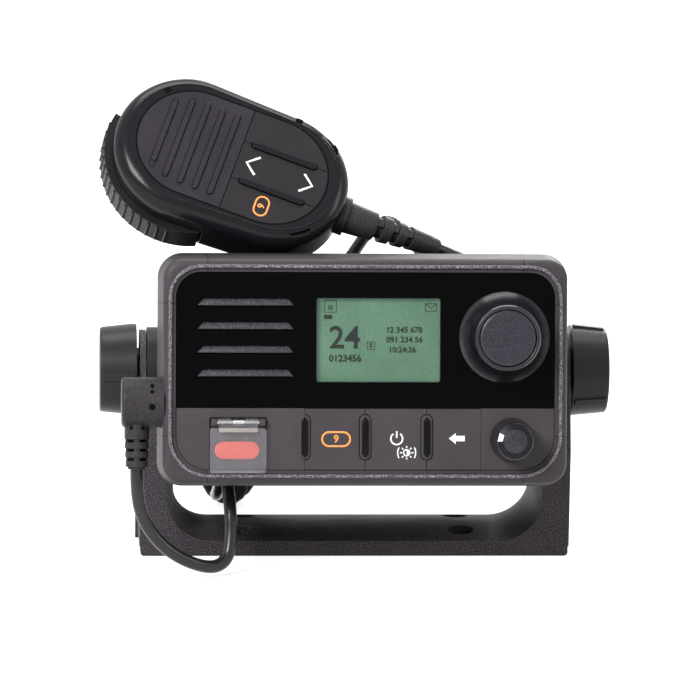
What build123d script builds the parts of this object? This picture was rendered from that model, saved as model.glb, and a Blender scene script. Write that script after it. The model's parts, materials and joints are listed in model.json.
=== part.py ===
from build123d import *
from math import atan2, cos, degrees, pi, radians, sin, sqrt, tan
import os

# Fixed-mount VHF marine radio on its trunnion bracket, with a fist microphone on a curly cord.
# Millimetres. The origin is the centre of the bracket's four screw holes, on the mounting face.
# +X is the radio's right as its user sees it, +Y is away from the user, +Z is up.

os.makedirs("parts", exist_ok=True)

# ---------------------------------------------------------------- placing
axis_height = 73.0          # trunnion axis above the mounting face
rest_tilt = 9.0             # face tipped back from upright
face_rise = 2.0             # centre of the front face above the trunnion axis
running_gap = 0.05          # radial clearance of a shaft or screw in its hole
part_gap = 0.15             # gap round a panel, key or lens in its frame

# The radio's own frame: x right, y up, z forward out of the face, all from the trunnion axis.
RADIO = Plane(
    origin=(0, 0, axis_height),
    x_dir=(1, 0, 0),
    z_dir=(0, -cos(radians(rest_tilt)), sin(radians(rest_tilt))),
)
forward = Axis(RADIO.origin, RADIO.z_dir)


def front(distance):
    """The plane parallel to the face, this far in front of the trunnion axis."""
    return RADIO.offset(distance)


def facing(x, y, distance, direction):
    """A plane at a point of the radio's frame, whose normal is a direction of that frame."""
    normal = RADIO.from_local_coords(Vector(*direction)) - RADIO.origin
    return Plane(origin=RADIO.from_local_coords(Vector(x, y, distance)), z_dir=normal)


# ---------------------------------------------------------------- front bezel
bezel_width = 165.0
bezel_height = 93.5
bezel_corner = 10.0
bezel_back = 54.0           # its rear face, in front of the trunnion axis
bezel_depth = 20.0
bezel_draft = 6.0           # its side walls lean in towards the front, in degrees
bezel_round = 3.3           # rounding of its front edge
bezel_side_wall = 3.6
bezel_top_wall = 3.25
side_border = 6.85          # bezel outside the opening, at its back edge
top_border = 7.25
opening_top_corner = 10.0
opening_bottom_corner = 13.5
lip_thickness = 4.2         # lip in front of the panel flange
ledge_width = 1.8           # smooth ledge round the opening
ledge_depth = 0.9
panel_recess = 1.5          # panel face behind the bezel's front
flange_thickness = 2.0

opening_width = bezel_width - 2 * side_border
opening_height = bezel_height - 2 * top_border
bezel_front = bezel_back + bezel_depth
panel_face = bezel_front - panel_recess
flange_front = bezel_front - lip_thickness
flange_back = flange_front - flange_thickness
cavity_width = bezel_width - 2 * bezel_side_wall
cavity_height = bezel_height - 2 * bezel_top_wall
cavity_corner = bezel_corner - bezel_side_wall + 1.0

post_radius = 4.0
post_inset = 3.7            # screw posts in from the cavity's corners
screw_radius = 1.5
post_x = cavity_width / 2 - post_inset
post_y = cavity_height / 2 - post_inset
post_spots = [(sx * post_x, face_rise + sy * post_y) for sx in (-1, 1) for sy in (-1, 1)]

boot_y = -10.8              # cord boot on the left side of the bezel
boot_z = bezel_back + bezel_depth / 2
boot_radius = 10.0
boot_seat_depth = 2.4


def opening_face(plane, margin):
    """The front opening, grown by a margin on every side."""
    with BuildSketch(plane) as outline:
        with Locations((0, face_rise)):
            Rectangle(opening_width + 2 * margin, opening_height + 2 * margin)
        fillet(outline.vertices().group_by(Axis.Y)[-1], opening_top_corner + margin)
        fillet(outline.vertices().group_by(Axis.Y)[0], opening_bottom_corner + margin)
    return outline.sketch


with BuildPart() as front_bezel:
    with BuildSketch(front(bezel_back)):
        with Locations((0, face_rise)):
            RectangleRounded(bezel_width, bezel_height, bezel_corner)
    extrude(amount=bezel_depth, taper=bezel_draft)
    fillet(front_bezel.faces().sort_by(forward)[-1].edges(), bezel_round)
    extrude(opening_face(front(bezel_back), 0), amount=bezel_depth, mode=Mode.SUBTRACT)
    extrude(opening_face(front(bezel_front - ledge_depth), ledge_width), amount=bezel_depth,
            mode=Mode.SUBTRACT)
    with BuildSketch(front(bezel_back)):
        with Locations((0, face_rise)):
            RectangleRounded(cavity_width, cavity_height, cavity_corner)
    extrude(amount=flange_front - bezel_back, mode=Mode.SUBTRACT)
    with BuildSketch(front(bezel_back)):
        with Locations(*post_spots):
            Circle(post_radius)
    extrude(amount=flange_back - part_gap - bezel_back)
    with BuildSketch(front(bezel_back)):
        with Locations(*post_spots):
            Circle(screw_radius + running_gap)
    extrude(amount=flange_back - bezel_back - 3.0, mode=Mode.SUBTRACT)
    with BuildSketch(facing(-bezel_width / 2 + boot_seat_depth, boot_y, boot_z, (-1, 0, 0))):
        Circle(boot_radius + part_gap)
    extrude(amount=bezel_side_wall, mode=Mode.SUBTRACT)
front_bezel.part.label = "front_bezel"
export_step(front_bezel.part, "parts/front_bezel.step")

# ---------------------------------------------------------------- upper front panel
strip_top = -12.65          # the grey key strip starts here and runs down to the bezel
slot_count = 4
slot_length = 39.6          # of its lower edge
slot_width = 3.9
slot_end_angle = 57.0
slot_pitch = 9.4
slot_inset = 27.65          # slot centres in from the opening's left edge
slot_low_y = 1.3
slot_ramp = 20.0            # slope of the slot walls
window_width = 49.6
window_height = 33.6
window_x = 5.1
window_y = 14.4
menu_inset = 20.35          # knob centres in from the opening's right edge
menu_y = 15.8
menu_shaft_radius = 3.0
volume_inset = 17.15
volume_y = -25.1
volume_shaft_radius = 2.5
bush_radius = 4.5           # encoder bush in the panel

slot_x = slot_inset - opening_width / 2
menu_x = opening_width / 2 - menu_inset
volume_x = opening_width / 2 - volume_inset
slot_spots = [(slot_x, slot_low_y + slot_pitch * i) for i in range(slot_count)]
panel_thickness = panel_face - flange_back


def panel_blank(low, high):
    """A plate that fills the opening between two heights, with a flange behind the lip."""
    with BuildPart(mode=Mode.PRIVATE) as blank:
        extrude(opening_face(front(flange_back), -part_gap), amount=panel_thickness)
        with BuildSketch(front(flange_back)):
            with Locations((0, face_rise)):
                RectangleRounded(cavity_width - 2 * part_gap, cavity_height - 2 * part_gap,
                                 cavity_corner)
        extrude(amount=flange_thickness - part_gap)
        with BuildSketch(front(flange_back)):
            with Locations((0, (low + high) / 2)):
                Rectangle(bezel_width, high - low)
        extrude(amount=panel_thickness, mode=Mode.INTERSECT)
    return blank.part


with BuildPart() as front_panel:
    add(panel_blank(strip_top + part_gap / 2, face_rise + bezel_height / 2))
    with BuildSketch(front(panel_face)):
        with Locations(*slot_spots):
            Trapezoid(slot_length, slot_width, slot_end_angle)
    extrude(amount=-2.0, taper=slot_ramp, mode=Mode.SUBTRACT)
    with BuildSketch(front(flange_back)):
        with Locations(*slot_spots):
            Trapezoid(slot_length - 3.2, slot_width - 1.6, slot_end_angle)
    extrude(amount=panel_thickness, mode=Mode.SUBTRACT)
    with BuildSketch(front(flange_back)):
        with Locations((window_x, window_y)):
            RectangleRounded(window_width, window_height, 1.0)
        with Locations((menu_x, menu_y)):
            Circle(bush_radius + part_gap)
    extrude(amount=panel_thickness, mode=Mode.SUBTRACT)
front_panel.part.label = "front_panel"
export_step(front_panel.part, "parts/front_panel.step")

# ---------------------------------------------------------------- lower fascia, with the key bay
key_edges = [-24.3, -0.1, 24.5, 46.3]
key_names = ["channel_key", "power_key", "back_key"]
key_thickness = 2.5
key_gap = 0.25
key_travel = 0.5
key_stem_radius = 3.0
bay_floor = panel_face - key_thickness - key_travel - 0.1
pill_width = 4.4
pill_length = 17.9
pill_y = -24.25
pill_proud = 0.9

cover_inset = 13.65         # cover in from the opening's left edge
cover_width = 22.5
cover_top = -16.9
hinge_y = -18.3
distress_shift = -0.35      # button's centre from the cover's
distress_y = -29.6
distress_length = 18.0
distress_width = 7.2
distress_travel = 1.5
cover_thickness = 1.8
cover_lift = 0.3            # cover above the ledge that it closes on
knuckle_radius = 1.5
cover_pin_radius = 0.7
ear_width = 2.4             # fascia ears that hold the cover's pin
ear_gap = 0.5
ear_size = 1.3              # half width of an ear, and its height above the pin
cover_back = bezel_front - ledge_depth + cover_lift
hinge_z = cover_back + knuckle_radius - 1.2
cover_bottom = -38.6
well_depth = 1.6            # distress well in the fascia

strip_bottom = face_rise - opening_height / 2
cover_left = cover_inset - opening_width / 2
cover_right = cover_left + cover_width
cover_x = (cover_left + cover_right) / 2
distress_x = cover_x + distress_shift
ear_spots = [cover_left + ear_gap + ear_width / 2, cover_right - ear_gap - ear_width / 2]
pin_length = cover_width - 2 * ear_gap
tongue_length = pin_length - 2 * ear_width - 2 * ear_gap


def key_bay(plane, shrink):
    """The strip that the keys fill, pulled in by a margin."""
    left, right = key_edges[0] + shrink, key_edges[-1] - shrink
    low, high = strip_bottom + shrink, strip_top - shrink
    with BuildSketch(plane) as bay:
        with Locations(((left + right) / 2, (low + high) / 2)):
            Rectangle(right - left, high - low)
    return bay.sketch


with BuildPart() as lower_fascia:
    add(panel_blank(face_rise - bezel_height / 2, strip_top - part_gap / 2))
    extrude(key_bay(front(bay_floor), 0), amount=panel_thickness, mode=Mode.SUBTRACT)
    with BuildSketch(front(bay_floor - 0.1)):
        with Locations(*[(x, pill_y) for x in key_edges[:-1]]):
            SlotOverall(pill_length, pill_width, rotation=90)
    extrude(amount=panel_face + pill_proud - bay_floor)
    fillet(lower_fascia.faces().sort_by(forward)[-len(key_names):].edges(), 0.6)
    with BuildSketch(front(panel_face - well_depth)):
        with Locations((cover_x, (cover_top + strip_bottom) / 2)):
            Rectangle(cover_width + 2 * part_gap, cover_top - strip_bottom)
    extrude(amount=panel_thickness, mode=Mode.SUBTRACT)
    with BuildSketch(front(hinge_z - knuckle_radius - 0.4)):
        with Locations((cover_x, hinge_y)):
            Rectangle(cover_width + 2 * part_gap, 2 * (cover_top - hinge_y) + 1.0)
    extrude(amount=panel_thickness, mode=Mode.SUBTRACT)
    with BuildSketch(front(panel_face - well_depth - 0.1)):
        with Locations(*[(x, hinge_y) for x in ear_spots]):
            Rectangle(ear_width, 2 * ear_size)
    extrude(amount=hinge_z + ear_size - panel_face + well_depth + 0.1)
    with BuildSketch(facing(cover_left + ear_gap, hinge_y, hinge_z, (1, 0, 0))):
        Circle(cover_pin_radius + 0.02)
    extrude(amount=pin_length, mode=Mode.SUBTRACT)
    with BuildSketch(front(flange_back)):
        with Locations((distress_x, distress_y)):
            SlotOverall(distress_length + 2 * part_gap, distress_width + 2 * part_gap)
        with Locations(*[((a + b) / 2, pill_y) for a, b in zip(key_edges, key_edges[1:])]):
            Circle(key_stem_radius + part_gap)
        with Locations((volume_x, volume_y)):
            Circle(bush_radius + part_gap)
    extrude(amount=panel_thickness, mode=Mode.SUBTRACT)
lower_fascia.part.label = "lower_fascia"
export_step(lower_fascia.part, "parts/lower_fascia.step")

# ---------------------------------------------------------------- three face keys
for key_name, left, right in zip(key_names, key_edges, key_edges[1:]):
    with BuildPart() as face_key:
        with BuildSketch(front(panel_face - key_thickness)):
            with Locations(((left + right) / 2, (strip_top + strip_bottom) / 2)):
                Rectangle(right - left - key_gap, strip_top - strip_bottom - 2 * key_gap)
            with Locations(*[(x, pill_y) for x in key_edges[:-1]]):
                SlotOverall(pill_length + 2 * key_gap, pill_width + 2 * key_gap, rotation=90,
                            mode=Mode.SUBTRACT)
        extrude(amount=key_thickness)
        with BuildSketch(front(flange_back + 0.1)):
            with Locations(((left + right) / 2, pill_y)):
                Circle(key_stem_radius)
        extrude(amount=panel_face - key_thickness - flange_back)
    face_key.part.label = key_name
    export_step(face_key.part, f"parts/{key_name}.step")

# ---------------------------------------------------------------- distress button, cover and hinge
with BuildPart() as distress_button:
    with BuildSketch(front(flange_back + 0.1)):
        with Locations((distress_x, distress_y)):
            SlotOverall(distress_length, distress_width)
    extrude(amount=panel_face - flange_back)
    fillet(distress_button.faces().sort_by(forward)[-1].edges(), 0.8)
distress_button.part.label = "distress_button"
export_step(distress_button.part, "parts/distress_button.step")

tongue_start = cover_x - tongue_length / 2
cover_spring_length = 5.0
spring_bay = cover_spring_length + 0.6
with BuildPart() as distress_cover:
    plate_top = hinge_y - ear_size - 1.0
    with BuildSketch(front(cover_back)):
        with Locations((cover_x, (plate_top + cover_bottom) / 2)):
            RectangleRounded(cover_width, plate_top - cover_bottom, 1.2)
    extrude(amount=cover_thickness)
    fillet(distress_cover.faces().sort_by(forward)[-1].edges(), 0.6)
    with BuildSketch(front(cover_back)):
        with Locations((cover_x, (plate_top - 1.0 + hinge_y) / 2)):
            Rectangle(tongue_length, hinge_y - plate_top + 1.0)
    extrude(amount=cover_thickness)
    with BuildSketch(facing(tongue_start, hinge_y, hinge_z, (1, 0, 0))):
        Circle(knuckle_radius)
    extrude(amount=tongue_length)
    with BuildSketch(facing(cover_x - spring_bay / 2, hinge_y, hinge_z, (1, 0, 0))):
        Circle(knuckle_radius + 0.3)
    extrude(amount=spring_bay, mode=Mode.SUBTRACT)
    with BuildSketch(facing(cover_left, hinge_y, hinge_z, (1, 0, 0))):
        Circle(cover_pin_radius + running_gap)
    extrude(amount=cover_width, mode=Mode.SUBTRACT)
distress_cover.part.label = "distress_cover"
export_step(distress_cover.part, "parts/distress_cover.step")

with BuildPart() as distress_cover_pin:
    with BuildSketch(facing(cover_left + ear_gap, hinge_y, hinge_z, (1, 0, 0))):
        Circle(cover_pin_radius)
    extrude(amount=pin_length)
distress_cover_pin.part.label = "distress_cover_pin"
export_step(distress_cover_pin.part, "parts/distress_cover_pin.step")

cover_spring_wire = 0.22
cover_spring_turns = 6
cover_spring_radius = cover_pin_radius + cover_spring_wire + 0.1
cover_spring_spots = [(cover_spring_length * ((n + 0.5) / cover_spring_turns - 0.5), cover_spring_radius)
                      for n in range(cover_spring_turns)]
with BuildPart() as distress_cover_spring:
    with BuildSketch(facing(cover_x, hinge_y, hinge_z, (1, 0, 0))):
        Circle(cover_spring_radius + cover_spring_wire / 2)
        Circle(cover_spring_radius - cover_spring_wire / 2, mode=Mode.SUBTRACT)
    extrude(amount=cover_spring_length / 2 - cover_spring_wire, both=True)
    with BuildSketch(Plane(RADIO.from_local_coords(Vector(cover_x, hinge_y, hinge_z)),
                           x_dir=(1, 0, 0), z_dir=RADIO.z_dir)):
        with Locations(*cover_spring_spots):
            Circle(cover_spring_wire)
    revolve(axis=Axis(RADIO.from_local_coords(Vector(cover_x, hinge_y, hinge_z)), (1, 0, 0)))
distress_cover_spring.part.label = "distress_cover_spring"
export_step(distress_cover_spring.part, "parts/distress_cover_spring.step")

# ---------------------------------------------------------------- display
lens_thickness = 1.8
lcd_margin = 3.2
lcd_depth = 7.3
board_thickness = 1.6

with BuildPart() as display_window:
    with BuildSketch(front(panel_face - lens_thickness)):
        with Locations((window_x, window_y)):
            RectangleRounded(window_width - 2 * part_gap, window_height - 2 * part_gap, 0.9)
    extrude(amount=lens_thickness)
display_window.part.label = "display_window"
export_step(display_window.part, "parts/display_window.step")

lcd_front = flange_back - part_gap
board_front = lcd_front - lcd_depth
with BuildPart() as lcd_module:
    with BuildSketch(front(board_front)):
        with Locations((window_x, window_y)):
            RectangleRounded(window_width + 2 * lcd_margin, window_height + 2 * lcd_margin, 1.0)
    extrude(amount=lcd_depth)
    with BuildSketch(front(lcd_front)):
        with Locations((window_x, window_y)):
            RectangleRounded(window_width - 2 * part_gap, window_height - 2 * part_gap, 0.9)
    extrude(amount=panel_face - lens_thickness - 0.3 - lcd_front)
lcd_module.part.label = "lcd_module"
export_step(lcd_module.part, "parts/lcd_module.step")

# ---------------------------------------------------------------- speaker
speaker_radius = 22.0
speaker_y = 15.0
gasket_thickness = 1.5
speaker_depth = 15.0
speaker_front = flange_back - gasket_thickness

with BuildPart() as speaker_gasket:
    with BuildSketch(front(speaker_front)):
        with Locations((slot_x, speaker_y)):
            Circle(speaker_radius)
            Circle(speaker_radius - 1.5, mode=Mode.SUBTRACT)
    extrude(amount=gasket_thickness)
speaker_gasket.part.label = "speaker_gasket"
export_step(speaker_gasket.part, "parts/speaker_gasket.step")

magnet_radius = 11.0
with BuildPart() as speaker:
    with BuildSketch(front(speaker_front - 2.0)):
        with Locations((slot_x, speaker_y)):
            Circle(speaker_radius)
    extrude(amount=2.0)
    with BuildSketch(front(speaker_front - 2.0)):
        with Locations((slot_x, speaker_y)):
            Circle(speaker_radius - 2.5)
    extrude(amount=-7.0, taper=38)
    with BuildSketch(front(speaker_front - speaker_depth)):
        with Locations((slot_x, speaker_y)):
            Circle(magnet_radius)
    extrude(amount=7.0)
    with BuildSketch(front(speaker_front)):
        with Locations((slot_x, speaker_y)):
            Circle(speaker_radius - 3.5)
    extrude(amount=-5.0, taper=38, mode=Mode.SUBTRACT)
speaker.part.label = "speaker"
export_step(speaker.part, "parts/speaker.step")

# ---------------------------------------------------------------- front board and keypad
board_right = cavity_width / 2 - 5.9
board_left = 12.9 - cavity_width / 2
board_split = -24.0
board_high = 36.0
board_low = -32.0
board_step = -10.0

with BuildPart() as front_board:
    with BuildSketch(front(board_front - board_thickness)):
        with BuildLine():
            Polyline((board_left, board_low), (board_right, board_low), (board_right, board_high),
                     (board_split, board_high), (board_split, board_step), (board_left, board_step),
                     close=True)
        make_face()
    extrude(amount=board_thickness)
front_board.part.label = "front_board"
export_step(front_board.part, "parts/front_board.step")

membrane_front = flange_back + 0.1 - key_travel - 0.05
with BuildPart() as keypad_membrane:
    with BuildSketch(front(board_front)):
        with Locations(((board_left + key_edges[-1]) / 2, pill_y)):
            Rectangle(key_edges[-1] - board_left, 2 * (pill_y - board_low) - 2.0)
    extrude(amount=membrane_front - distress_travel - board_front)
    with BuildSketch(front(board_front)):
        with Locations(*[((a + b) / 2, pill_y) for a, b in zip(key_edges, key_edges[1:])]):
            Circle(key_stem_radius)
    extrude(amount=membrane_front - board_front)
keypad_membrane.part.label = "keypad_membrane"
export_step(keypad_membrane.part, "parts/keypad_membrane.step")

# ---------------------------------------------------------------- menu knob, button, shaft, encoder
knob_lift = 0.25            # knob above the panel
menu_base_radius = 18.2
menu_neck_radius = 13.2
menu_height = 16.0
menu_cap_radius = 11.4
menu_press = 0.8
hub_floor = panel_face + knob_lift + 2.2

face_up = Plane(origin=RADIO.from_local_coords(Vector(menu_x, menu_y, panel_face)),
                x_dir=RADIO.x_dir, z_dir=-RADIO.y_dir)
with BuildPart() as menu_knob:
    with BuildSketch(face_up) as knob_profile:
        with BuildLine():
            Line((menu_shaft_radius + running_gap, knob_lift), (menu_base_radius, knob_lift))
            Line((menu_base_radius, knob_lift), (menu_base_radius, knob_lift + 1.6))
            Spline((menu_base_radius, knob_lift + 1.6), (menu_neck_radius + 1.3, menu_height * 0.42),
                   (menu_neck_radius, menu_height - 1.2), tangents=[(-1, 0.9), (-0.05, 1)])
            Line((menu_neck_radius, menu_height - 1.2), (menu_neck_radius - 0.5, menu_height - 0.5))
            Line((menu_neck_radius - 0.5, menu_height - 0.5),
                 (menu_cap_radius + part_gap, menu_height - 0.5))
            Line((menu_cap_radius + part_gap, menu_height - 0.5),
                 (menu_cap_radius + part_gap, hub_floor - panel_face))
            Line((menu_cap_radius + part_gap, hub_floor - panel_face),
                 (menu_shaft_radius + running_gap, hub_floor - panel_face))
            Line((menu_shaft_radius + running_gap, hub_floor - panel_face),
                 (menu_shaft_radius + running_gap, knob_lift))
        make_face()
    revolve(axis=Axis(face_up.origin, RADIO.z_dir))
menu_knob.part.label = "menu_knob"
export_step(menu_knob.part, "parts/menu_knob.step")

shaft_top = panel_face + 9.5
with BuildPart() as menu_button:
    with BuildSketch(front(hub_floor + menu_press + 0.1)):
        with Locations((menu_x, menu_y)):
            Circle(menu_cap_radius)
    extrude(amount=panel_face + menu_height - hub_floor - menu_press - 0.4)
    fillet(menu_button.faces().sort_by(forward)[-1].edges(), 1.4)
    with BuildSketch(front(hub_floor)):
        with Locations((menu_x, menu_y)):
            Circle(menu_shaft_radius + running_gap)
    extrude(amount=shaft_top + menu_press + 0.1 - hub_floor, mode=Mode.SUBTRACT)
menu_button.part.label = "menu_button"
export_step(menu_button.part, "parts/menu_button.step")

encoder_side = 15.0
encoder_front = flange_back - part_gap
with BuildPart() as menu_encoder:
    with BuildSketch(front(board_front)):
        with Locations((menu_x, menu_y)):
            RectangleRounded(encoder_side, encoder_side, 1.0)
    extrude(amount=encoder_front - board_front)
    with BuildSketch(front(encoder_front)):
        with Locations((menu_x, menu_y)):
            Circle(bush_radius)
    extrude(amount=panel_face - encoder_front)
    with BuildSketch(front(board_front + 1.5)):
        with Locations((menu_x, menu_y)):
            Circle(menu_shaft_radius + running_gap)
    extrude(amount=panel_face - board_front, mode=Mode.SUBTRACT)
menu_encoder.part.label = "menu_encoder"
export_step(menu_encoder.part, "parts/menu_encoder.step")

with BuildPart() as menu_shaft:
    with BuildSketch(front(board_front + 1.6)):
        with Locations((menu_x, menu_y)):
            Circle(menu_shaft_radius)
    extrude(amount=shaft_top - board_front - 1.6)
menu_shaft.part.label = "menu_shaft"
export_step(menu_shaft.part, "parts/menu_shaft.step")

# ---------------------------------------------------------------- volume knob, shaft, encoder
volume_base_radius = 8.8
volume_top_radius = 7.4
volume_height = 14.0
volume_press = 0.6
volume_lift = 0.9           # leaves room for the press

with BuildPart() as volume_encoder:
    with BuildSketch(front(board_front)):
        with Locations((volume_x, volume_y)):
            RectangleRounded(encoder_side - 2.0, encoder_side - 2.0, 1.0)
    extrude(amount=encoder_front - board_front)
    with BuildSketch(front(encoder_front)):
        with Locations((volume_x, volume_y)):
            Circle(bush_radius)
    extrude(amount=panel_face - encoder_front)
    with BuildSketch(front(board_front + 1.5)):
        with Locations((volume_x, volume_y)):
            Circle(volume_shaft_radius + running_gap)
    extrude(amount=panel_face - board_front, mode=Mode.SUBTRACT)
volume_encoder.part.label = "volume_encoder"
export_step(volume_encoder.part, "parts/volume_encoder.step")

volume_shaft_top = panel_face + volume_height - 3.0
with BuildPart() as volume_shaft:
    with BuildSketch(front(board_front + 1.6 + volume_press)):
        with Locations((volume_x, volume_y)):
            Circle(volume_shaft_radius)
    extrude(amount=volume_shaft_top - board_front - 1.6 - volume_press)
volume_shaft.part.label = "volume_shaft"
export_step(volume_shaft.part, "parts/volume_shaft.step")

volume_draft = degrees(atan2(volume_base_radius - volume_top_radius, volume_height - volume_lift))
with BuildPart() as volume_knob:
    with BuildSketch(front(panel_face + volume_lift)):
        with Locations((volume_x, volume_y)):
            Circle(volume_base_radius)
    extrude(amount=volume_height - volume_lift, taper=volume_draft)
    fillet(volume_knob.faces().sort_by(forward)[-1].edges(), 0.9)
    with BuildSketch(front(panel_face + volume_lift)):
        with Locations((volume_x, volume_y)):
            Circle(volume_shaft_radius + running_gap)
    extrude(amount=volume_shaft_top + 0.05 - panel_face - volume_lift, mode=Mode.SUBTRACT)
volume_knob.part.label = "volume_knob"
export_step(volume_knob.part, "parts/volume_knob.step")

# ---------------------------------------------------------------- rear chassis
chassis_side_step = 10.5    # bezel's side beyond the chassis's, which leaves room for the screws
chassis_top_step = 8.75
chassis_corner = 5.0
chassis_wall = 3.0
chassis_back = -60.0        # rear wall's outer face
fin_depth = 8.0
fin_count = 15
fin_pitch = 9.2
fin_thickness = 2.4
fin_height = 30.0
flange_step = 1.0           # flange in from the bezel's outline
rear_flange = 3.0
seal_thickness = 1.0
boss_radius = 17.5
boss_reach = 2.9            # trunnion bosses beyond the bezel's sides
boss_face = bezel_width / 2 + boss_reach
insert_radius = 5.0
insert_length = 12.0
stud_radius = 3.0
standoff_radius = 3.0
main_board_y = -15.0
board_side_gap = 4.0
main_board_depth = 92.0
main_board_z = -5.0        # its centre

chassis_width = bezel_width - 2 * chassis_side_step
chassis_height = bezel_height - 2 * chassis_top_step
flange_width = bezel_width - 2 * flange_step
flange_height = bezel_height - 2 * flange_step
main_board_width = chassis_width - 2 * (chassis_wall + board_side_gap)
chassis_front = bezel_back - seal_thickness
chassis_floor = face_rise - chassis_height / 2 + chassis_wall
standoffs = [(sx * (main_board_width / 2 - 5.0), sz * (main_board_depth / 2 - 5.0))
             for sx in (-1, 1) for sz in (-1, 1)]


def level(height, depth_shift):
    """A plane square to the face's up direction: x right and y forward."""
    origin = RADIO.from_local_coords(Vector(0, height, depth_shift))
    return Plane(origin=origin, x_dir=(1, 0, 0), z_dir=RADIO.y_dir)


antenna_x, antenna_y = 53.0, -10.0
antenna_plate = 22.0        # square flange
antenna_flange = 2.0
antenna_barrel = 7.9        # radius of the threaded barrel
antenna_core = 5.8
antenna_length = 15.0
antenna_core_length = 11.0
antenna_seat = 6.0
contact_radius = 2.1
gps_x, gps_y = 30.0, 0.0
gps_hex = 5.6
gps_hex_length = 2.5
gps_barrel = 3.1
gps_length = 8.0
gps_contact = 1.6
gps_seat = 4.0
power_x, power_y = 6.0, -20.0
network_x, network_y = 30.0, -21.0
gland_seat = 6.5
gland_hex = 9.6
gland_hex_length = 4.0
gland_nose = 7.6
gland_nose_length = 8.0
gland_bore = 3.4
gland_bore_depth = 9.0
rear_ports = [(antenna_x, antenna_y, antenna_seat), (gps_x, gps_y, gps_seat),
              (power_x, power_y, gland_seat), (network_x, network_y, gland_seat)]

with BuildPart() as rear_chassis:
    with BuildSketch(front(chassis_back)):
        with Locations((0, face_rise)):
            RectangleRounded(chassis_width, chassis_height, chassis_corner)
    extrude(amount=chassis_front - chassis_back)
    with BuildSketch(front(chassis_front - rear_flange)):
        with Locations((0, face_rise)):
            RectangleRounded(flange_width, flange_height, bezel_corner - 1.0)
    extrude(amount=rear_flange)
    for side in (-1, 1):
        with BuildSketch(facing(side * (chassis_width / 2 - 0.5), 0, 0, (side, 0, 0))):
            Circle(boss_radius)
        extrude(amount=boss_face - chassis_width / 2 + 0.5)
    with BuildSketch(front(chassis_back + chassis_wall)):
        with Locations((0, face_rise)):
            RectangleRounded(chassis_width - 2 * chassis_wall, chassis_height - 2 * chassis_wall,
                             chassis_corner - chassis_wall)
    extrude(amount=chassis_front - chassis_back, mode=Mode.SUBTRACT)
    with BuildSketch(front(chassis_back)):
        with Locations((0, face_rise + chassis_height / 2 - fin_height / 2 - 1.5)):
            with GridLocations(fin_pitch, 1.0, fin_count, 1):
                Rectangle(fin_thickness, fin_height)
    extrude(amount=-fin_depth, taper=1.5)
    with BuildSketch(level(chassis_floor, main_board_z)):
        with Locations(*standoffs):
            Circle(standoff_radius)
    extrude(amount=main_board_y - chassis_floor)
    for side in (-1, 1):
        with BuildSketch(facing(side * boss_face, 0, 0, (-side, 0, 0))):
            Circle(insert_radius + 0.02)
        extrude(amount=insert_length, mode=Mode.SUBTRACT)
    with BuildSketch(front(chassis_front - rear_flange)):
        with Locations(*post_spots):
            Circle(screw_radius + 0.2)
    extrude(amount=rear_flange, mode=Mode.SUBTRACT)
    for port_x, port_y, port_radius in rear_ports:
        with BuildSketch(front(chassis_back)):
            with Locations((port_x, port_y)):
                Circle(port_radius + running_gap)
        extrude(amount=chassis_wall, mode=Mode.SUBTRACT)
rear_chassis.part.label = "rear_chassis"
export_step(rear_chassis.part, "parts/rear_chassis.step")

for side, hand in ((-1, "left"), (1, "right")):
    with BuildPart() as trunnion_insert:
        with BuildSketch(facing(side * boss_face, 0, 0, (-side, 0, 0))):
            Circle(insert_radius)
            Circle(stud_radius + running_gap, mode=Mode.SUBTRACT)
        extrude(amount=insert_length)
    trunnion_insert.part.label = f"{hand}_trunnion_insert"
    export_step(trunnion_insert.part, f"parts/{hand}_trunnion_insert.step")

with BuildPart() as front_seal:
    with BuildSketch(front(chassis_front)):
        with Locations((0, face_rise)):
            RectangleRounded(flange_width - 0.6, flange_height - 0.6, bezel_corner - 1.3)
            RectangleRounded(cavity_width, cavity_height, cavity_corner, mode=Mode.SUBTRACT)
    extrude(amount=seal_thickness)
front_seal.part.label = "front_seal"
export_step(front_seal.part, "parts/front_seal.step")

head_radius = 2.9
head_height = 2.0
screw_length = flange_back - 3.5 - chassis_front + rear_flange
with BuildPart() as chassis_screws:
    with BuildSketch(front(chassis_front - rear_flange)):
        with Locations(*post_spots):
            Circle(head_radius)
    extrude(amount=-head_height)
    with BuildSketch(front(chassis_front - rear_flange)):
        with Locations(*post_spots):
            Circle(screw_radius)
    extrude(amount=screw_length)
chassis_screws.part.label = "chassis_screws"
export_step(chassis_screws.part, "parts/chassis_screws.step")

shield_height = 9.0
with BuildPart() as main_board:
    with BuildSketch(level(main_board_y, main_board_z)):
        Rectangle(main_board_width, main_board_depth)
    extrude(amount=board_thickness)
    with BuildSketch(level(main_board_y + board_thickness, main_board_z)):
        with Locations((-main_board_width * 0.23, main_board_depth * 0.13)):
            Rectangle(main_board_width * 0.4, main_board_depth * 0.48)
        with Locations((main_board_width * 0.26, -main_board_depth * 0.09)):
            Rectangle(main_board_width * 0.37, main_board_depth * 0.65)
    extrude(amount=shield_height)
main_board.part.label = "main_board"
export_step(main_board.part, "parts/main_board.step")

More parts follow.
